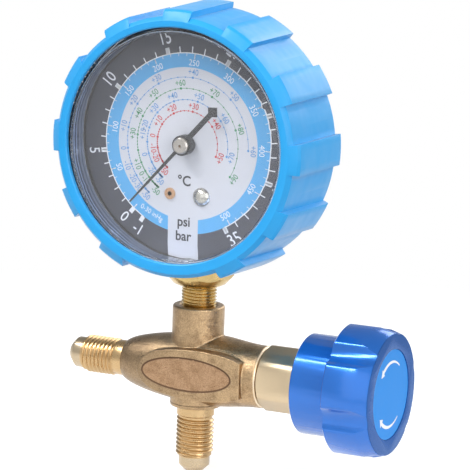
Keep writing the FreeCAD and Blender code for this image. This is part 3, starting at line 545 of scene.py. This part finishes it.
def sharpen(obj, degrees):
    obj.data.set_sharp_from_angle(angle=math.radians(degrees))


def evaluated_mesh(obj):
    depsgraph = bpy.context.evaluated_depsgraph_get()
    return bpy.data.meshes.new_from_object(obj.evaluated_get(depsgraph))


def apply_modifiers(obj):
    """Bakes the object's modifiers into its mesh."""
    mesh, old = evaluated_mesh(obj), obj.data
    obj.modifiers.clear()
    obj.data = mesh
    if old.users == 0:
        bpy.data.meshes.remove(old)


def lathe(points, steps=96):
    """Surface of revolution about Z through a closed loop of (radius, z), in millimetres."""
    bm = bmesh.new()
    rings = []
    for r, z in points:
        turns = (2 * math.pi * k / steps for k in range(steps))
        rings.append([bm.verts.new((r * MM * math.cos(a), r * MM * math.sin(a), z * MM))
                      for a in turns])
    for low, high in zip(rings, rings[1:]):
        for k in range(steps):
            after = (k + 1) % steps
            bm.faces.new((low[k], low[after], high[after], high[k]))
    bmesh.ops.remove_doubles(bm, verts=bm.verts, dist=WELD)
    return bm


def copy_of(node, material, body, cuts=(), bevel=0.0, segments=2, angle=30.0):
    """Copy of a CAD node that stands for it, cut off square by planes, with softened edges."""
    bm = bmesh.new()
    bm.from_mesh(NODES[node].data)
    bmesh.ops.remove_doubles(bm, verts=bm.verts, dist=CAD_WELD)
    for point, normal in cuts:
        everything = bm.verts[:] + bm.edges[:] + bm.faces[:]
        done = bmesh.ops.bisect_plane(bm, geom=everything, plane_co=Vector(point) * MM,
                                      plane_no=normal, clear_outer=True, dist=WELD)
        edges = [e for e in done["geom_cut"] if isinstance(e, bmesh.types.BMEdge)]
        bmesh.ops.triangle_fill(bm, edges=edges, use_beauty=True)
    bmesh.ops.dissolve_limit(bm, angle_limit=FLAT_BEND, verts=bm.verts, edges=bm.edges)
    obj = solid_piece(node + "_look", bm, material, body)
    if bevel:
        mod = obj.modifiers.new("soft edges", "BEVEL")
        mod.width, mod.segments = bevel * MM, segments
        mod.limit_method, mod.angle_limit = "ANGLE", math.radians(angle)
        mod.harden_normals = True
        apply_modifiers(obj)
    sharpen(obj, 40)
    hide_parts(node)
    return obj


# ---- geometry nodes for what repeats

def geo_tree(name, inputs):
    """New Geometry Nodes tree, the sockets it is given and the sockets it puts out."""
    tree = bpy.data.node_groups.new(name, "GeometryNodeTree")
    socket(tree, "Geometry", "Geometry", "INPUT")
    for label, kind, value in inputs:
        socket(tree, label, kind, "INPUT", value)
    socket(tree, "Geometry", "Geometry", "OUTPUT")
    t = Tree(tree)
    return t, t.node("NodeGroupInput").outputs, t.node("NodeGroupOutput").inputs


def finish_geo(t, made, geometry, material):
    real = t.node("GeometryNodeRealizeInstances")
    t.put(real.inputs[0], geometry)
    give = t.node("GeometryNodeSetMaterial")
    t.put(give.inputs["Geometry"], real.outputs[0])
    give.inputs["Material"].default_value = material
    t.put(made[0], give.outputs[0])
    return t.tree


def run_geo(name, tree, values, material, points=()):
    """Runs a Geometry Nodes tree on an empty or point mesh and keeps the plain mesh."""
    mesh = bpy.data.meshes.new(name)
    mesh.from_pydata(points, [], [])
    obj = bpy.data.objects.new(name, mesh)
    show(obj)
    mod = obj.modifiers.new("made", "NODES")
    mod.node_group = tree
    for item in tree.interface.items_tree:
        if item.in_out == "INPUT" and item.name in values:
            mod[item.identifier] = values[item.name]
    obj.update_tag()
    bpy.context.view_layer.update()
    apply_modifiers(obj)
    obj.data.materials.clear()
    obj.data.materials.append(material)
    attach(obj, "manifold")
    return obj


def tick_tree(ink):
    """Equal bars round a circle in the dial plane, turned clockwise from a first angle."""
    t, given, made = geo_tree("dial_ticks", [
        ("Count", "Int", 10), ("First angle", "Float", 0.0), ("Step", "Float", 0.1),
        ("Inner radius", "Float", 0.02), ("Outer radius", "Float", 0.022),
        ("Width", "Float", 0.0003), ("Face", "Float", -0.01)])
    inner, outer = given["Inner radius"], given["Outer radius"]
    line = t.node("GeometryNodeMeshLine")
    t.put(line.inputs["Count"], given["Count"])
    line.inputs["Offset"].default_value = (0, 0, 0)
    bar = t.node("GeometryNodeMeshCube")
    t.put(bar.inputs["Size"], t.join(given["Width"], 0.02 * MM, t.minus(outer, inner)))
    out = t.node("GeometryNodeTransform")
    t.put(out.inputs["Geometry"], bar.outputs["Mesh"])
    t.put(out.inputs["Translation"], t.join(z=t.times(t.plus(outer, inner), 0.5)))
    index = t.node("GeometryNodeInputIndex")
    turn = t.math("MULTIPLY_ADD", index.outputs[0], given["Step"], given["First angle"])
    spread = t.node("GeometryNodeInstanceOnPoints")
    t.put(spread.inputs["Points"], line.outputs["Mesh"])
    t.put(spread.inputs["Instance"], out.outputs["Geometry"])
    t.put(spread.inputs["Rotation"], t.join(y=turn))
    shift = t.node("GeometryNodeTransform")
    t.put(shift.inputs["Geometry"], spread.outputs["Instances"])
    t.put(shift.inputs["Translation"], t.join(y=given["Face"], z=GAUGE_Z * MM))
    return finish_geo(t, made, shift.outputs["Geometry"], ink)


def dot_tree(ink):
    """A small disc on every given point, facing the front."""
    t, given, made = geo_tree("dial_dots", [("Radius", "Float", 0.0002)])
    disc = t.node("GeometryNodeMeshCircle", fill_type="NGON")
    disc.inputs["Vertices"].default_value = 12
    t.put(disc.inputs["Radius"], given["Radius"])
    spread = t.node("GeometryNodeInstanceOnPoints")
    t.put(spread.inputs["Points"], given["Geometry"])
    t.put(spread.inputs["Instance"], disc.outputs["Mesh"])
    spread.inputs["Rotation"].default_value = (math.radians(90), 0, 0)
    return finish_geo(t, made, spread.outputs["Instances"], ink)


def thread_tree(brass):
    """A thread ridge: a spiral along Z swept by a trapezoid, fading out at both ends."""
    t, given, made = geo_tree("thread_ridge", [
        ("Root radius", "Float", 0.0048), ("Pitch", "Float", 0.00127),
        ("Length", "Float", 0.0108), ("Height", "Float", 0.0007), ("Taper", "Float", 0.0),
        ("Fade", "Float", 0.03)])
    root, pitch = given["Root radius"], given["Pitch"]
    spiral = t.node("GeometryNodeCurveSpiral")
    spiral.inputs["Resolution"].default_value = 64
    t.put(spiral.inputs["Rotations"], t.over(given["Length"], pitch))
    t.put(spiral.inputs["Start Radius"], root)
    t.put(spiral.inputs["End Radius"], t.plus(root, given["Taper"]))
    t.put(spiral.inputs["Height"], given["Length"])
    normal = t.node("GeometryNodeSetCurveNormal", mode="Z_UP")
    t.put(normal.inputs["Curve"], spiral.outputs[0])

    half, crest = t.times(pitch, 0.46), t.times(pitch, 0.07)
    deep, high = t.times(given["Height"], 0.25), t.times(given["Height"], -1.0)
    corners = [(deep, half), (high, crest), (high, t.times(crest, -1.0)),
               (deep, t.times(half, -1.0))]
    profile = t.node("GeometryNodeCurvePrimitiveQuadrilateral", mode="POINTS")
    for k, corner in enumerate(corners):
        t.put(profile.inputs["Point %d" % (k + 1)], t.join(*corner))

    along = t.node("GeometryNodeSplineParameter").outputs["Factor"]
    ends = t.math("MINIMUM", along, t.minus(1.0, along))
    size = t.math("MINIMUM", 1.0, t.over(ends, given["Fade"]))
    sweep = t.node("GeometryNodeCurveToMesh")
    t.put(sweep.inputs["Curve"], normal.outputs[0])
    t.put(sweep.inputs["Profile Curve"], profile.outputs[0])
    t.put(sweep.inputs["Scale"], t.math("MAXIMUM", size, 0.02))
    sweep.inputs["Fill Caps"].default_value = True
    return finish_geo(t, made, sweep.outputs[0], brass)


# ---- body, ports and stem

def thread_ridge(name, tree, material, foot, length, root, height, pitch, taper, fade):
    """Thread ridge on a plain root, from a foot on Z, in millimetres; fade is a share."""
    ridge = run_geo(name, tree, {
        "Root radius": root * MM, "Pitch": pitch * MM, "Length": length * MM,
        "Height": height * MM, "Taper": taper * MM, "Fade": fade}, material)
    ridge.data.transform(Matrix.Translation((0, 0, foot * MM)))
    sharpen(ridge, 28)
    return ridge


def flare_port(name, place, material, tree, neck_r, shoulder, cut):
    """Machined port along -Z of its own frame: neck, threaded length, nose and bore."""
    core = solid_piece(name, lathe([
        (PORT_BORE_R, NOSE_Z), (2.65, NOSE_Z), (2.8, -4.38), (4.42, -2.85), (4.53, -2.6),
        (4.53, -0.05), (4.62, 0.0), (PORT_ROOT_R + 0.05, 0.25), (PORT_ROOT_R, 0.35),
        (PORT_ROOT_R, cut + 0.4), (5.0, cut + 0.55), (neck_r, cut + 0.9),
        (neck_r, shoulder - 0.1), (neck_r, shoulder + 0.3), (PORT_BORE_R, shoulder + 0.3),
        (PORT_BORE_R, NOSE_Z)]), material, "manifold")
    sharpen(core, 35)
    ridge = thread_ridge(name + "_thread", tree, material, foot=0.45,
                         length=cut, root=PORT_ROOT_R, height=PORT_CREST_R - PORT_ROOT_R,
                         pitch=PORT_PITCH, taper=0.0, fade=0.035)
    for obj in (core, ridge):
        obj.data.transform(place)


def make_body(mats, tree):
    """Forging with softened edges, the bevelled edge of its collar, and its two ports."""
    cut_z, overlap, inner = COLLAR_Z + 0.9, 0.02, 4.0
    top = cut_z + overlap
    body = copy_of("manifold_body", mats["forged_brass"], "manifold",
                   cuts=[((LEFT_SHANK_X, 0, 0), (-1, 0, 0)), ((0, 0, cut_z), (0, 0, -1))])
    even = body.modifiers.new("even", "REMESH")
    even.mode, even.voxel_size = "VOXEL", 0.22 * MM
    soft = body.modifiers.new("soft", "SMOOTH")
    soft.factor, soft.iterations = 0.5, 3
    fewer = body.modifiers.new("fewer", "DECIMATE")
    fewer.ratio = 0.55
    apply_modifiers(body)
    body.data.shade_smooth()
    body.data.materials.clear()
    body.data.materials.append(mats["forged_brass"])

    collar = solid_piece("collar_edge", lathe([
        (inner, COLLAR_Z), (COLLAR_R - COLLAR_BEVEL, COLLAR_Z),
        (COLLAR_R, COLLAR_Z + COLLAR_BEVEL), (COLLAR_R, top), (inner, top),
        (inner, COLLAR_Z)]), mats["forged_brass"], "manifold")
    sharpen(collar, 50)

    turn = Matrix.Rotation(math.radians(90), 4, "Y")
    left = Matrix.Translation((LEFT_THREAD_END * MM, 0, VALVE_Z * MM)) @ turn
    flare_port("left_port", left, mats["thread_brass_x"], tree,
               neck_r=5.2, shoulder=13.5, cut=9.9)
    flare_port("lower_port", Matrix.Identity(4), mats["thread_brass"], tree,
               neck_r=5.5, shoulder=COLLAR_Z, cut=11.4)


def make_stem(mats, tree):
    """Gauge socket with its tapered pipe thread cut into the stem."""
    low, neck, top = VALVE_Z + 12.0, VALVE_Z + 24.0, VALVE_Z + 24.35
    bore = 2.6
    copy_of("gauge_socket", mats["stem_brass"], "manifold", bevel=0.15,
            cuts=[((0, 0, top), (0, 0, -1))])
    core = solid_piece("stem_core", lathe([
        (bore, low), (4.2, low), (4.4, low + 0.6), (4.5, neck - 0.4), (5.0, neck),
        (5.2, top + 0.2), (bore, top + 0.2), (bore, low)]),
        mats["stem_brass"], "manifold")
    sharpen(core, 35)
    thread_ridge("stem_thread", tree, mats["stem_brass"], foot=low + 1.0,
                 length=11.0, root=STEM_ROOT_R, height=STEM_RELIEF, pitch=STEM_PITCH,
                 taper=0.12, fade=0.03)


def make_window_bead(mats):
    """Rounded bead moulded round the edge of the clear window."""
    y, r, half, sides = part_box("window")[0].y / MM + 0.95, 32.75, 0.38, 10
    turns = (2 * math.pi * k / sides for k in range(sides + 1))
    bm = lathe([(r + half * math.cos(a), y - half * math.sin(a)) for a in turns], steps=160)
    bmesh.ops.rotate(bm, verts=bm.verts, matrix=Matrix.Rotation(math.radians(-90), 3, "X"))
    bmesh.ops.translate(bm, verts=bm.verts, vec=(0, 0, GAUGE_Z * MM))
    solid_piece("window_bead", bm, mats["window_clear"], "manifold")


# ---- print on the dial and the knob

def dial_point(radius, degrees, y):
    """Point in the dial plane, from a radius and an angle clockwise from the top."""
    a = math.radians(degrees)
    return radius * MM * math.sin(a), y * MM, (GAUGE_Z + radius * math.cos(a)) * MM


def ribbon(bm, pairs):
    """Joins pairs of points into a strip."""
    last = None
    for pair in pairs:
        now = [bm.verts.new(point) for point in pair]
        if last:
            bm.faces.new((last[0], last[1], now[1], now[0]))
        last = now


def dial_print(name, material, bm):
    flat_piece(name, bm, material, "manifold", Vector((0, -1, 0)))


def dial_ring(name, material, r0, r1, y, first=-180.0, last=180.0):
    """Flat ring in the dial plane between two angles, facing the front."""
    steps = 240
    bm = bmesh.new()
    angles = (first + (last - first) * k / steps for k in range(steps + 1))
    ribbon(bm, ([dial_point(r, a, y) for r in (r0, r1)] for a in angles))
    dial_print(name, material, bm)


def bar_angle(bar):
    return ZERO_ANGLE + BAR_STEP * bar


def psi_angle(psi):
    return bar_angle(psi / PSI_IN_BAR)


def temperature_angle(a, b, celsius):
    """Angle of the saturation pressure at a temperature, by ln p = a - b / T."""
    return bar_angle(math.exp(a - b / (celsius + KELVIN)) - AIR_BAR)


class Lettering:
    """Collects numerals as flat meshes, one object for each colour."""

    lower_half = 93.0

    def __init__(self):
        self.bins = {}

    def add(self, colour, text, size, place, wide, bold):
        curve = bpy.data.curves.new("glyphs", "FONT")
        curve.body, curve.size = text, size * MM
        curve.align_x, curve.align_y = "CENTER", "CENTER"
        curve.resolution_u = 4
        curve.offset = bold * MM
        curve.fill_mode = "FRONT"
        obj = bpy.data.objects.new("glyphs", curve)
        show(obj)
        mesh = evaluated_mesh(obj)
        bpy.data.objects.remove(obj)
        bpy.data.curves.remove(curve)
        stand = Matrix.Rotation(math.radians(90), 4, "X")
        mesh.transform(place @ stand @ Matrix.Diagonal((wide, 1, 1, 1)))
        self.bins.setdefault(colour, []).append(mesh)

    def on_arc(self, colour, text, size, radius, degrees, y, wide=0.9, bold=0.0):
        """Text on an arc, its top outwards, or inwards on the lower half so that it reads."""
        a = math.radians(degrees)
        turn = a if abs(degrees) < self.lower_half else a + math.pi
        place = Matrix.Translation(Vector(dial_point(radius, degrees, y)))
        self.add(colour, text, size, place @ Matrix.Rotation(turn, 4, "Y"), wide, bold)

    def upright(self, colour, text, size, x, z, y, wide, bold):
        place = Matrix.Translation(Vector((x, y, GAUGE_Z + z)) * MM)
        self.add(colour, text, size, place, wide, bold)

    def finish(self, mats):
        for colour, meshes in self.bins.items():
            bm = bmesh.new()
            for mesh in meshes:
                bm.from_mesh(mesh)
                bpy.data.meshes.remove(mesh)
            finish_mesh("dial_figures_" + colour, bm, mats["ink_" + colour], "manifold")


# temperature scales: radius, colour, first and last degree, the two numbers of the
# saturation line ln p = a - b / T, and the numerals that are printed
SCALES = [
    (19.15, "blue", -50, 60, 10.445, 2361.3, (-50, -30, -20, -10, 0, 10, 20, 30, 40, 50, 60)),
    (15.95, "green", -50, 90, 10.763, 2646.3, (-50, -10, 0, 10, 30, 40, 50, 60, 70, 80, 90)),
    (12.75, "blue", -50, 70, 10.407, 2404.2, (-50, -20, 0, 15, 20, 30, 40, 50, 60, 70)),
    (9.55, "red", -50, 50, 10.784, 2378.5, (-50, -20, -10, 0, 10, 20, 30, 40, 50)),
]
SCALE_HALF, SMALL_DOT, BIG_DOT = 0.07, 0.22, 0.36

# edges of the dark ring and of the blue band, in millimetres from the centre
RIM_R, BAND_OUTER_R, BAND_INNER_R = 33.6, 26.0, 22.0

# layers of ink, each a little nearer to the front
RING_Y, LINE_Y, FIGURE_Y, UNIT_Y = DIAL_Y - 0.02, DIAL_Y - 0.04, DIAL_Y - 0.06, DIAL_Y - 0.08

# tick rows: name, count, first angle and step in degrees, inner and outer radius, width
PSI_STEP = BAR_STEP * 10 / PSI_IN_BAR
TICKS = [
    ("ticks_bar", 35, bar_angle(1), BAR_STEP, 26.0, 27.7, 0.32),
    ("ticks_bar_bold", 8, bar_angle(0), BAR_STEP * 5, 26.1, 27.85, 1.3),
    ("tick_vacuum", 1, bar_angle(-1), 0.0, 26.1, 27.85, 1.3),
    ("ticks_psi", 51, bar_angle(0), PSI_STEP, 25.1, 25.95, 0.16),
    ("ticks_psi_50", 11, bar_angle(0), PSI_STEP * 5, 24.5, 25.95, 0.3),
]


def print_rings(mats):
    dial_ring("dial_outer_ring", mats["ink_black"], BAND_OUTER_R, RIM_R, RING_Y)
    dial_ring("dial_band", mats["ink_band"], BAND_INNER_R, BAND_OUTER_R, RING_Y)
    dial_ring("dial_circle", mats["ink_white"], 25.9, 26.2, LINE_Y,
              bar_angle(-1) - 0.5, bar_angle(35) + 0.5)
    dial_ring("dial_rim_line", mats["ink_pale"], 32.9, 33.08, LINE_Y)
    left, right = -5.65, 3.9
    corners = [(left, -21.2), (right, -21.6), (right, -33.1), (left, -32.8)]
    strip = bmesh.new()
    strip.faces.new([strip.verts.new((x * MM, LINE_Y * MM, (GAUGE_Z + z) * MM))
                     for x, z in corners])
    dial_print("dial_strip", mats["dial_white"], strip)
    for radius, colour, low, high, a, b, _ in SCALES:
        dial_ring("scale_%s_%d" % (colour, radius), mats["ink_" + colour],
                  radius - SCALE_HALF, radius + SCALE_HALF, RING_Y,
                  temperature_angle(a, b, low), temperature_angle(a, b, high))


def print_ticks(mats):
    tree = tick_tree(mats["ink_white"])
    for name, count, first, step, inner, outer, width in TICKS:
        run_geo(name, tree, {
            "Count": count, "First angle": math.radians(first), "Step": math.radians(step),
            "Inner radius": inner * MM, "Outer radius": outer * MM, "Width": width * MM,
            "Face": FIGURE_Y * MM}, mats["ink_white"])


def print_dots(mats):
    tree = dot_tree(mats["ink_blue"])
    for radius, colour, low, high, a, b, _ in SCALES:
        places = {SMALL_DOT: [], BIG_DOT: []}
        for celsius in range(low, high + 1, 2):
            size = SMALL_DOT if celsius % 10 else BIG_DOT
            places[size].append(dial_point(radius, temperature_angle(a, b, celsius), FIGURE_Y))
        for size, points in places.items():
            run_geo("dots_%s_%d_%d" % (colour, radius, size * 100), tree,
                    {"Radius": size * MM}, mats["ink_" + colour], points)


def print_figures(mats):
    """Numerals and units. After each text come its height and radius or place, in millimetres."""
    nudges = {-1: -1.2, 0: 1.0, 35: -2.5}
    words = Lettering()
    for bar in (-1, 0, 5, 10, 15, 20, 25, 30, 35):
        words.on_arc("white", str(bar), 4.75, 30.25, bar_angle(bar) + nudges.get(bar, 0),
                     FIGURE_Y, 0.85, 0.03)
    for psi in range(50, 501, 50):
        words.on_arc("pale", str(psi), 2.5, 23.3, psi_angle(psi), FIGURE_Y)
    words.on_arc("pale", "0-30 inHg", 2.2, 23.6, -152.5, FIGURE_Y)
    for radius, colour, _, _, a, b, marks in SCALES:
        for celsius in marks:
            text = ("+%d" % celsius) if celsius > 0 else str(celsius)
            words.on_arc(colour, text, 2.45, radius + 1.5, temperature_angle(a, b, celsius),
                         FIGURE_Y, 0.85, 0.01)
    words.upright("dark", "°C", 4.1, -0.7, -10.8, FIGURE_Y, 0.95, 0.07)
    words.upright("dark", "psi", 4.0, -0.6, -22.6, UNIT_Y, 0.95, 0.07)
    words.upright("dark", "bar", 4.0, -0.7, -26.8, UNIT_Y, 0.95, 0.07)
    words.finish(mats)


def make_knob_marks(mats):
    """Two generic curved arrows on the knob's label, one for each way to turn."""
    radius, half_angle, steps = 9.4, 38.0, 24
    tail_half, widening, neck_half, neck_steps = 0.2, 0.4, 0.55, 3
    head_half, head_angle = 1.35, 13.0

    def point(r, a):
        return KNOB_LABEL_X * MM, r * MM * math.cos(a), (VALVE_Z + r * math.sin(a)) * MM

    bm = bmesh.new()
    for centre, way in ((90.0, 1), (-90.0, -1)):
        start = centre - way * half_angle
        pairs = []
        for k in range(steps + 1):
            a = math.radians(start + way * 2 * half_angle * k / steps)
            slim = k <= steps - neck_steps
            half = tail_half + widening * k / steps if slim else neck_half
            pairs.append((point(radius - half, a), point(radius + half, a)))
        ribbon(bm, pairs)
        end = centre + way * half_angle
        neck, tip = math.radians(end), math.radians(end + way * head_angle)
        head = [point(radius - head_half, neck), point(radius + head_half, neck),
                point(radius, tip)]
        bm.faces.new([bm.verts.new(corner) for corner in head])
    flat_piece("knob_arrows", bm, mats["ink_white"], "handle", Vector(X_AXIS))


# ---- looks of the CAD nodes that are shown as they are

CAD_LOOKS = {
    "bonnet_seal": "ptfe", "valve_spindle": "spindle_brass", "spindle_seals": "seal_rubber",
    "seat_holder": "spindle_brass", "seat_disc": "ptfe", "knob_screw": "screw_steel",
    "knob_label": "label_film", "restrictor": "inner_brass", "gauge_case": "case_black",
    "case_screws": "screw_steel", "window_gasket": "seal_rubber",
    "dial_plate": "dial_white", "dial_screw": "screw_steel", "dial_eyelet": "eyelet_copper",
    "front_plate": "inner_brass", "back_plate": "inner_brass", "plate_pillars": "inner_brass",
    "movement_screws": "screw_steel", "pinion_arbor": "arbor_steel",
    "sector_gear": "inner_brass", "sector_pin": "arbor_steel", "tip_link": "inner_brass",
    "tube_tip": "inner_brass", "bourdon_tube": "tube_bronze", "hairspring": "tube_bronze",
    "hairspring_stud": "inner_brass", "pointer": "pointer_black", "pointer_cap": "cap_chrome",
}


def dress_cad(mats):
    for node, name in CAD_LOOKS.items():
        obj = NODES[node]
        if not obj.data.materials:
            obj.data.materials.append(mats[name])
        for slot in obj.material_slots:
            slot.link = "OBJECT"
            slot.material = mats[name]


# ---- floor, surroundings and lamps

def make_stage():
    """Pale floor that fades to white away from the part and looks a little lit."""
    floor_z, half = cad_box[0].z - 0.02 * MM, 3
    white_from, white_to, lit_share = 0.12, 0.3, 0.62
    corners = [(-half, -half), (half, -half), (half, half), (-half, half)]
    bm = bmesh.new()
    bm.faces.new([bm.verts.new((x, y, floor_z)) for x, y in corners])
    mesh = bpy.data.meshes.new("floor")
    bm.to_mesh(mesh)
    bm.free()
    floor = bpy.data.objects.new("floor", mesh)
    show(floor)

    material = new_material("floor_pale")
    t, skin = nodes_of(material)
    skin.inputs["Base Color"].default_value = (0.62, 0.62, 0.62, 1)
    skin.inputs["Roughness"].default_value = 0.9
    skin.inputs["Specular IOR Level"].default_value = 0.0
    path = t.node("ShaderNodeLightPath").outputs
    seen = t.math("MAXIMUM", path["Is Camera Ray"], t.math(
        "MAXIMUM", path["Is Glossy Ray"], path["Is Transmission Ray"]))
    near, far = t.node("ShaderNodeEmission"), t.node("ShaderNodeEmission")
    t.put(near.inputs["Strength"], t.times(seen, lit_share))
    t.put(far.inputs["Strength"], seen)
    lit = t.node("ShaderNodeAddShader")
    t.put(lit.inputs[0], skin.outputs[0])
    t.put(lit.inputs[1], near.outputs[0])
    distance = t.node("ShaderNodeVectorMath", operation="LENGTH")
    t.put(distance.inputs[0], t.place())
    fade = t.node("ShaderNodeMixShader")
    t.put(fade.inputs[0], t.ramp(distance.outputs["Value"], white_from, white_to))
    t.put(fade.inputs[1], lit.outputs[0])
    t.put(fade.inputs[2], far.outputs[0])
    t.put(material.node_tree.nodes["Material Output"].inputs["Surface"], fade.outputs[0])
    mesh.materials.append(material)


def make_world():
    """White where the camera sees it; for reflections it dims towards the upper left and back."""
    world = bpy.data.worlds.new("studio")
    world.use_nodes = True
    bpy.context.scene.world = world
    t = Tree(world.node_tree)
    glow = world.node_tree.nodes["Background"]
    glow.inputs["Color"].default_value = (0.96, 0.98, 1.0, 1)
    white = t.node("ShaderNodeBackground")
    white.inputs["Color"].default_value = (1, 1, 1, 1)
    x, y, z = t.split(t.node("ShaderNodeTexCoord").outputs["Generated"])
    above = t.math("MULTIPLY_ADD", y, 0.3, t.times(z, 0.8))
    dim = t.math("MULTIPLY_ADD", x, -0.35, above)
    t.put(glow.inputs["Strength"], t.ramp(dim, 0.5, 0.8, first=0.72, last=0.36))
    path = t.node("ShaderNodeLightPath").outputs
    mix = t.node("ShaderNodeMixShader")
    t.put(mix.inputs[0], t.math("MAXIMUM", path["Is Camera Ray"], path["Is Transmission Ray"]))
    t.put(mix.inputs[1], glow.outputs[0])
    t.put(mix.inputs[2], white.outputs[0])
    t.put(world.node_tree.nodes["World Output"].inputs["Surface"], mix.outputs[0])


# lamps: name, place and size in metres, power; all of them look at the middle of the part
LAMPS = [
    ("key", (0.15, -0.95, 0.4), (0.8, 0.9), 1.8),
    ("right", (0.85, -0.45, 0.3), (0.7, 0.8), 5.4),
    ("strip", (-0.36, -0.42, 0.79), (0.8, 0.14), 6.6),
    ("back", (0.3, 0.9, 0.5), (0.9, 0.5), 3.5),
]
LAMP_AIM = Vector((0, 0, 0.06))


def make_lamps():
    for name, place, size, power in LAMPS:
        data = bpy.data.lights.new(name, "AREA")
        data.shape = "RECTANGLE"
        data.size, data.size_y = size
        data.energy = power
        lamp = bpy.data.objects.new(name, data)
        show(lamp)
        lamp.location = place
        lamp.rotation_mode = "QUATERNION"
        lamp.rotation_quaternion = (LAMP_AIM - Vector(place)).to_track_quat("-Z", "Y")


bpy.context.scene.view_settings.view_transform = "Standard"
make_camera()
make_effects()
materials = make_materials()
ridge_tree = thread_tree(materials["thread_brass"])
make_body(materials, ridge_tree)
copy_of("valve_bonnet", materials["bonnet_brass"], "manifold", bevel=0.2)
copy_of("knob", materials["knob_blue"], "handle", bevel=0.25, segments=3)
make_stem(materials, ridge_tree)
copy_of("gauge_boot", materials["boot_rubber"], "manifold", bevel=0.4, segments=3,
        angle=22.0)
copy_of("window", materials["window_clear"], "manifold", bevel=0.25, segments=3)
make_window_bead(materials)
dress_cad(materials)
print_rings(materials)
print_ticks(materials)
print_dots(materials)
print_figures(materials)
make_knob_marks(materials)
make_stage()
make_world()
make_lamps()
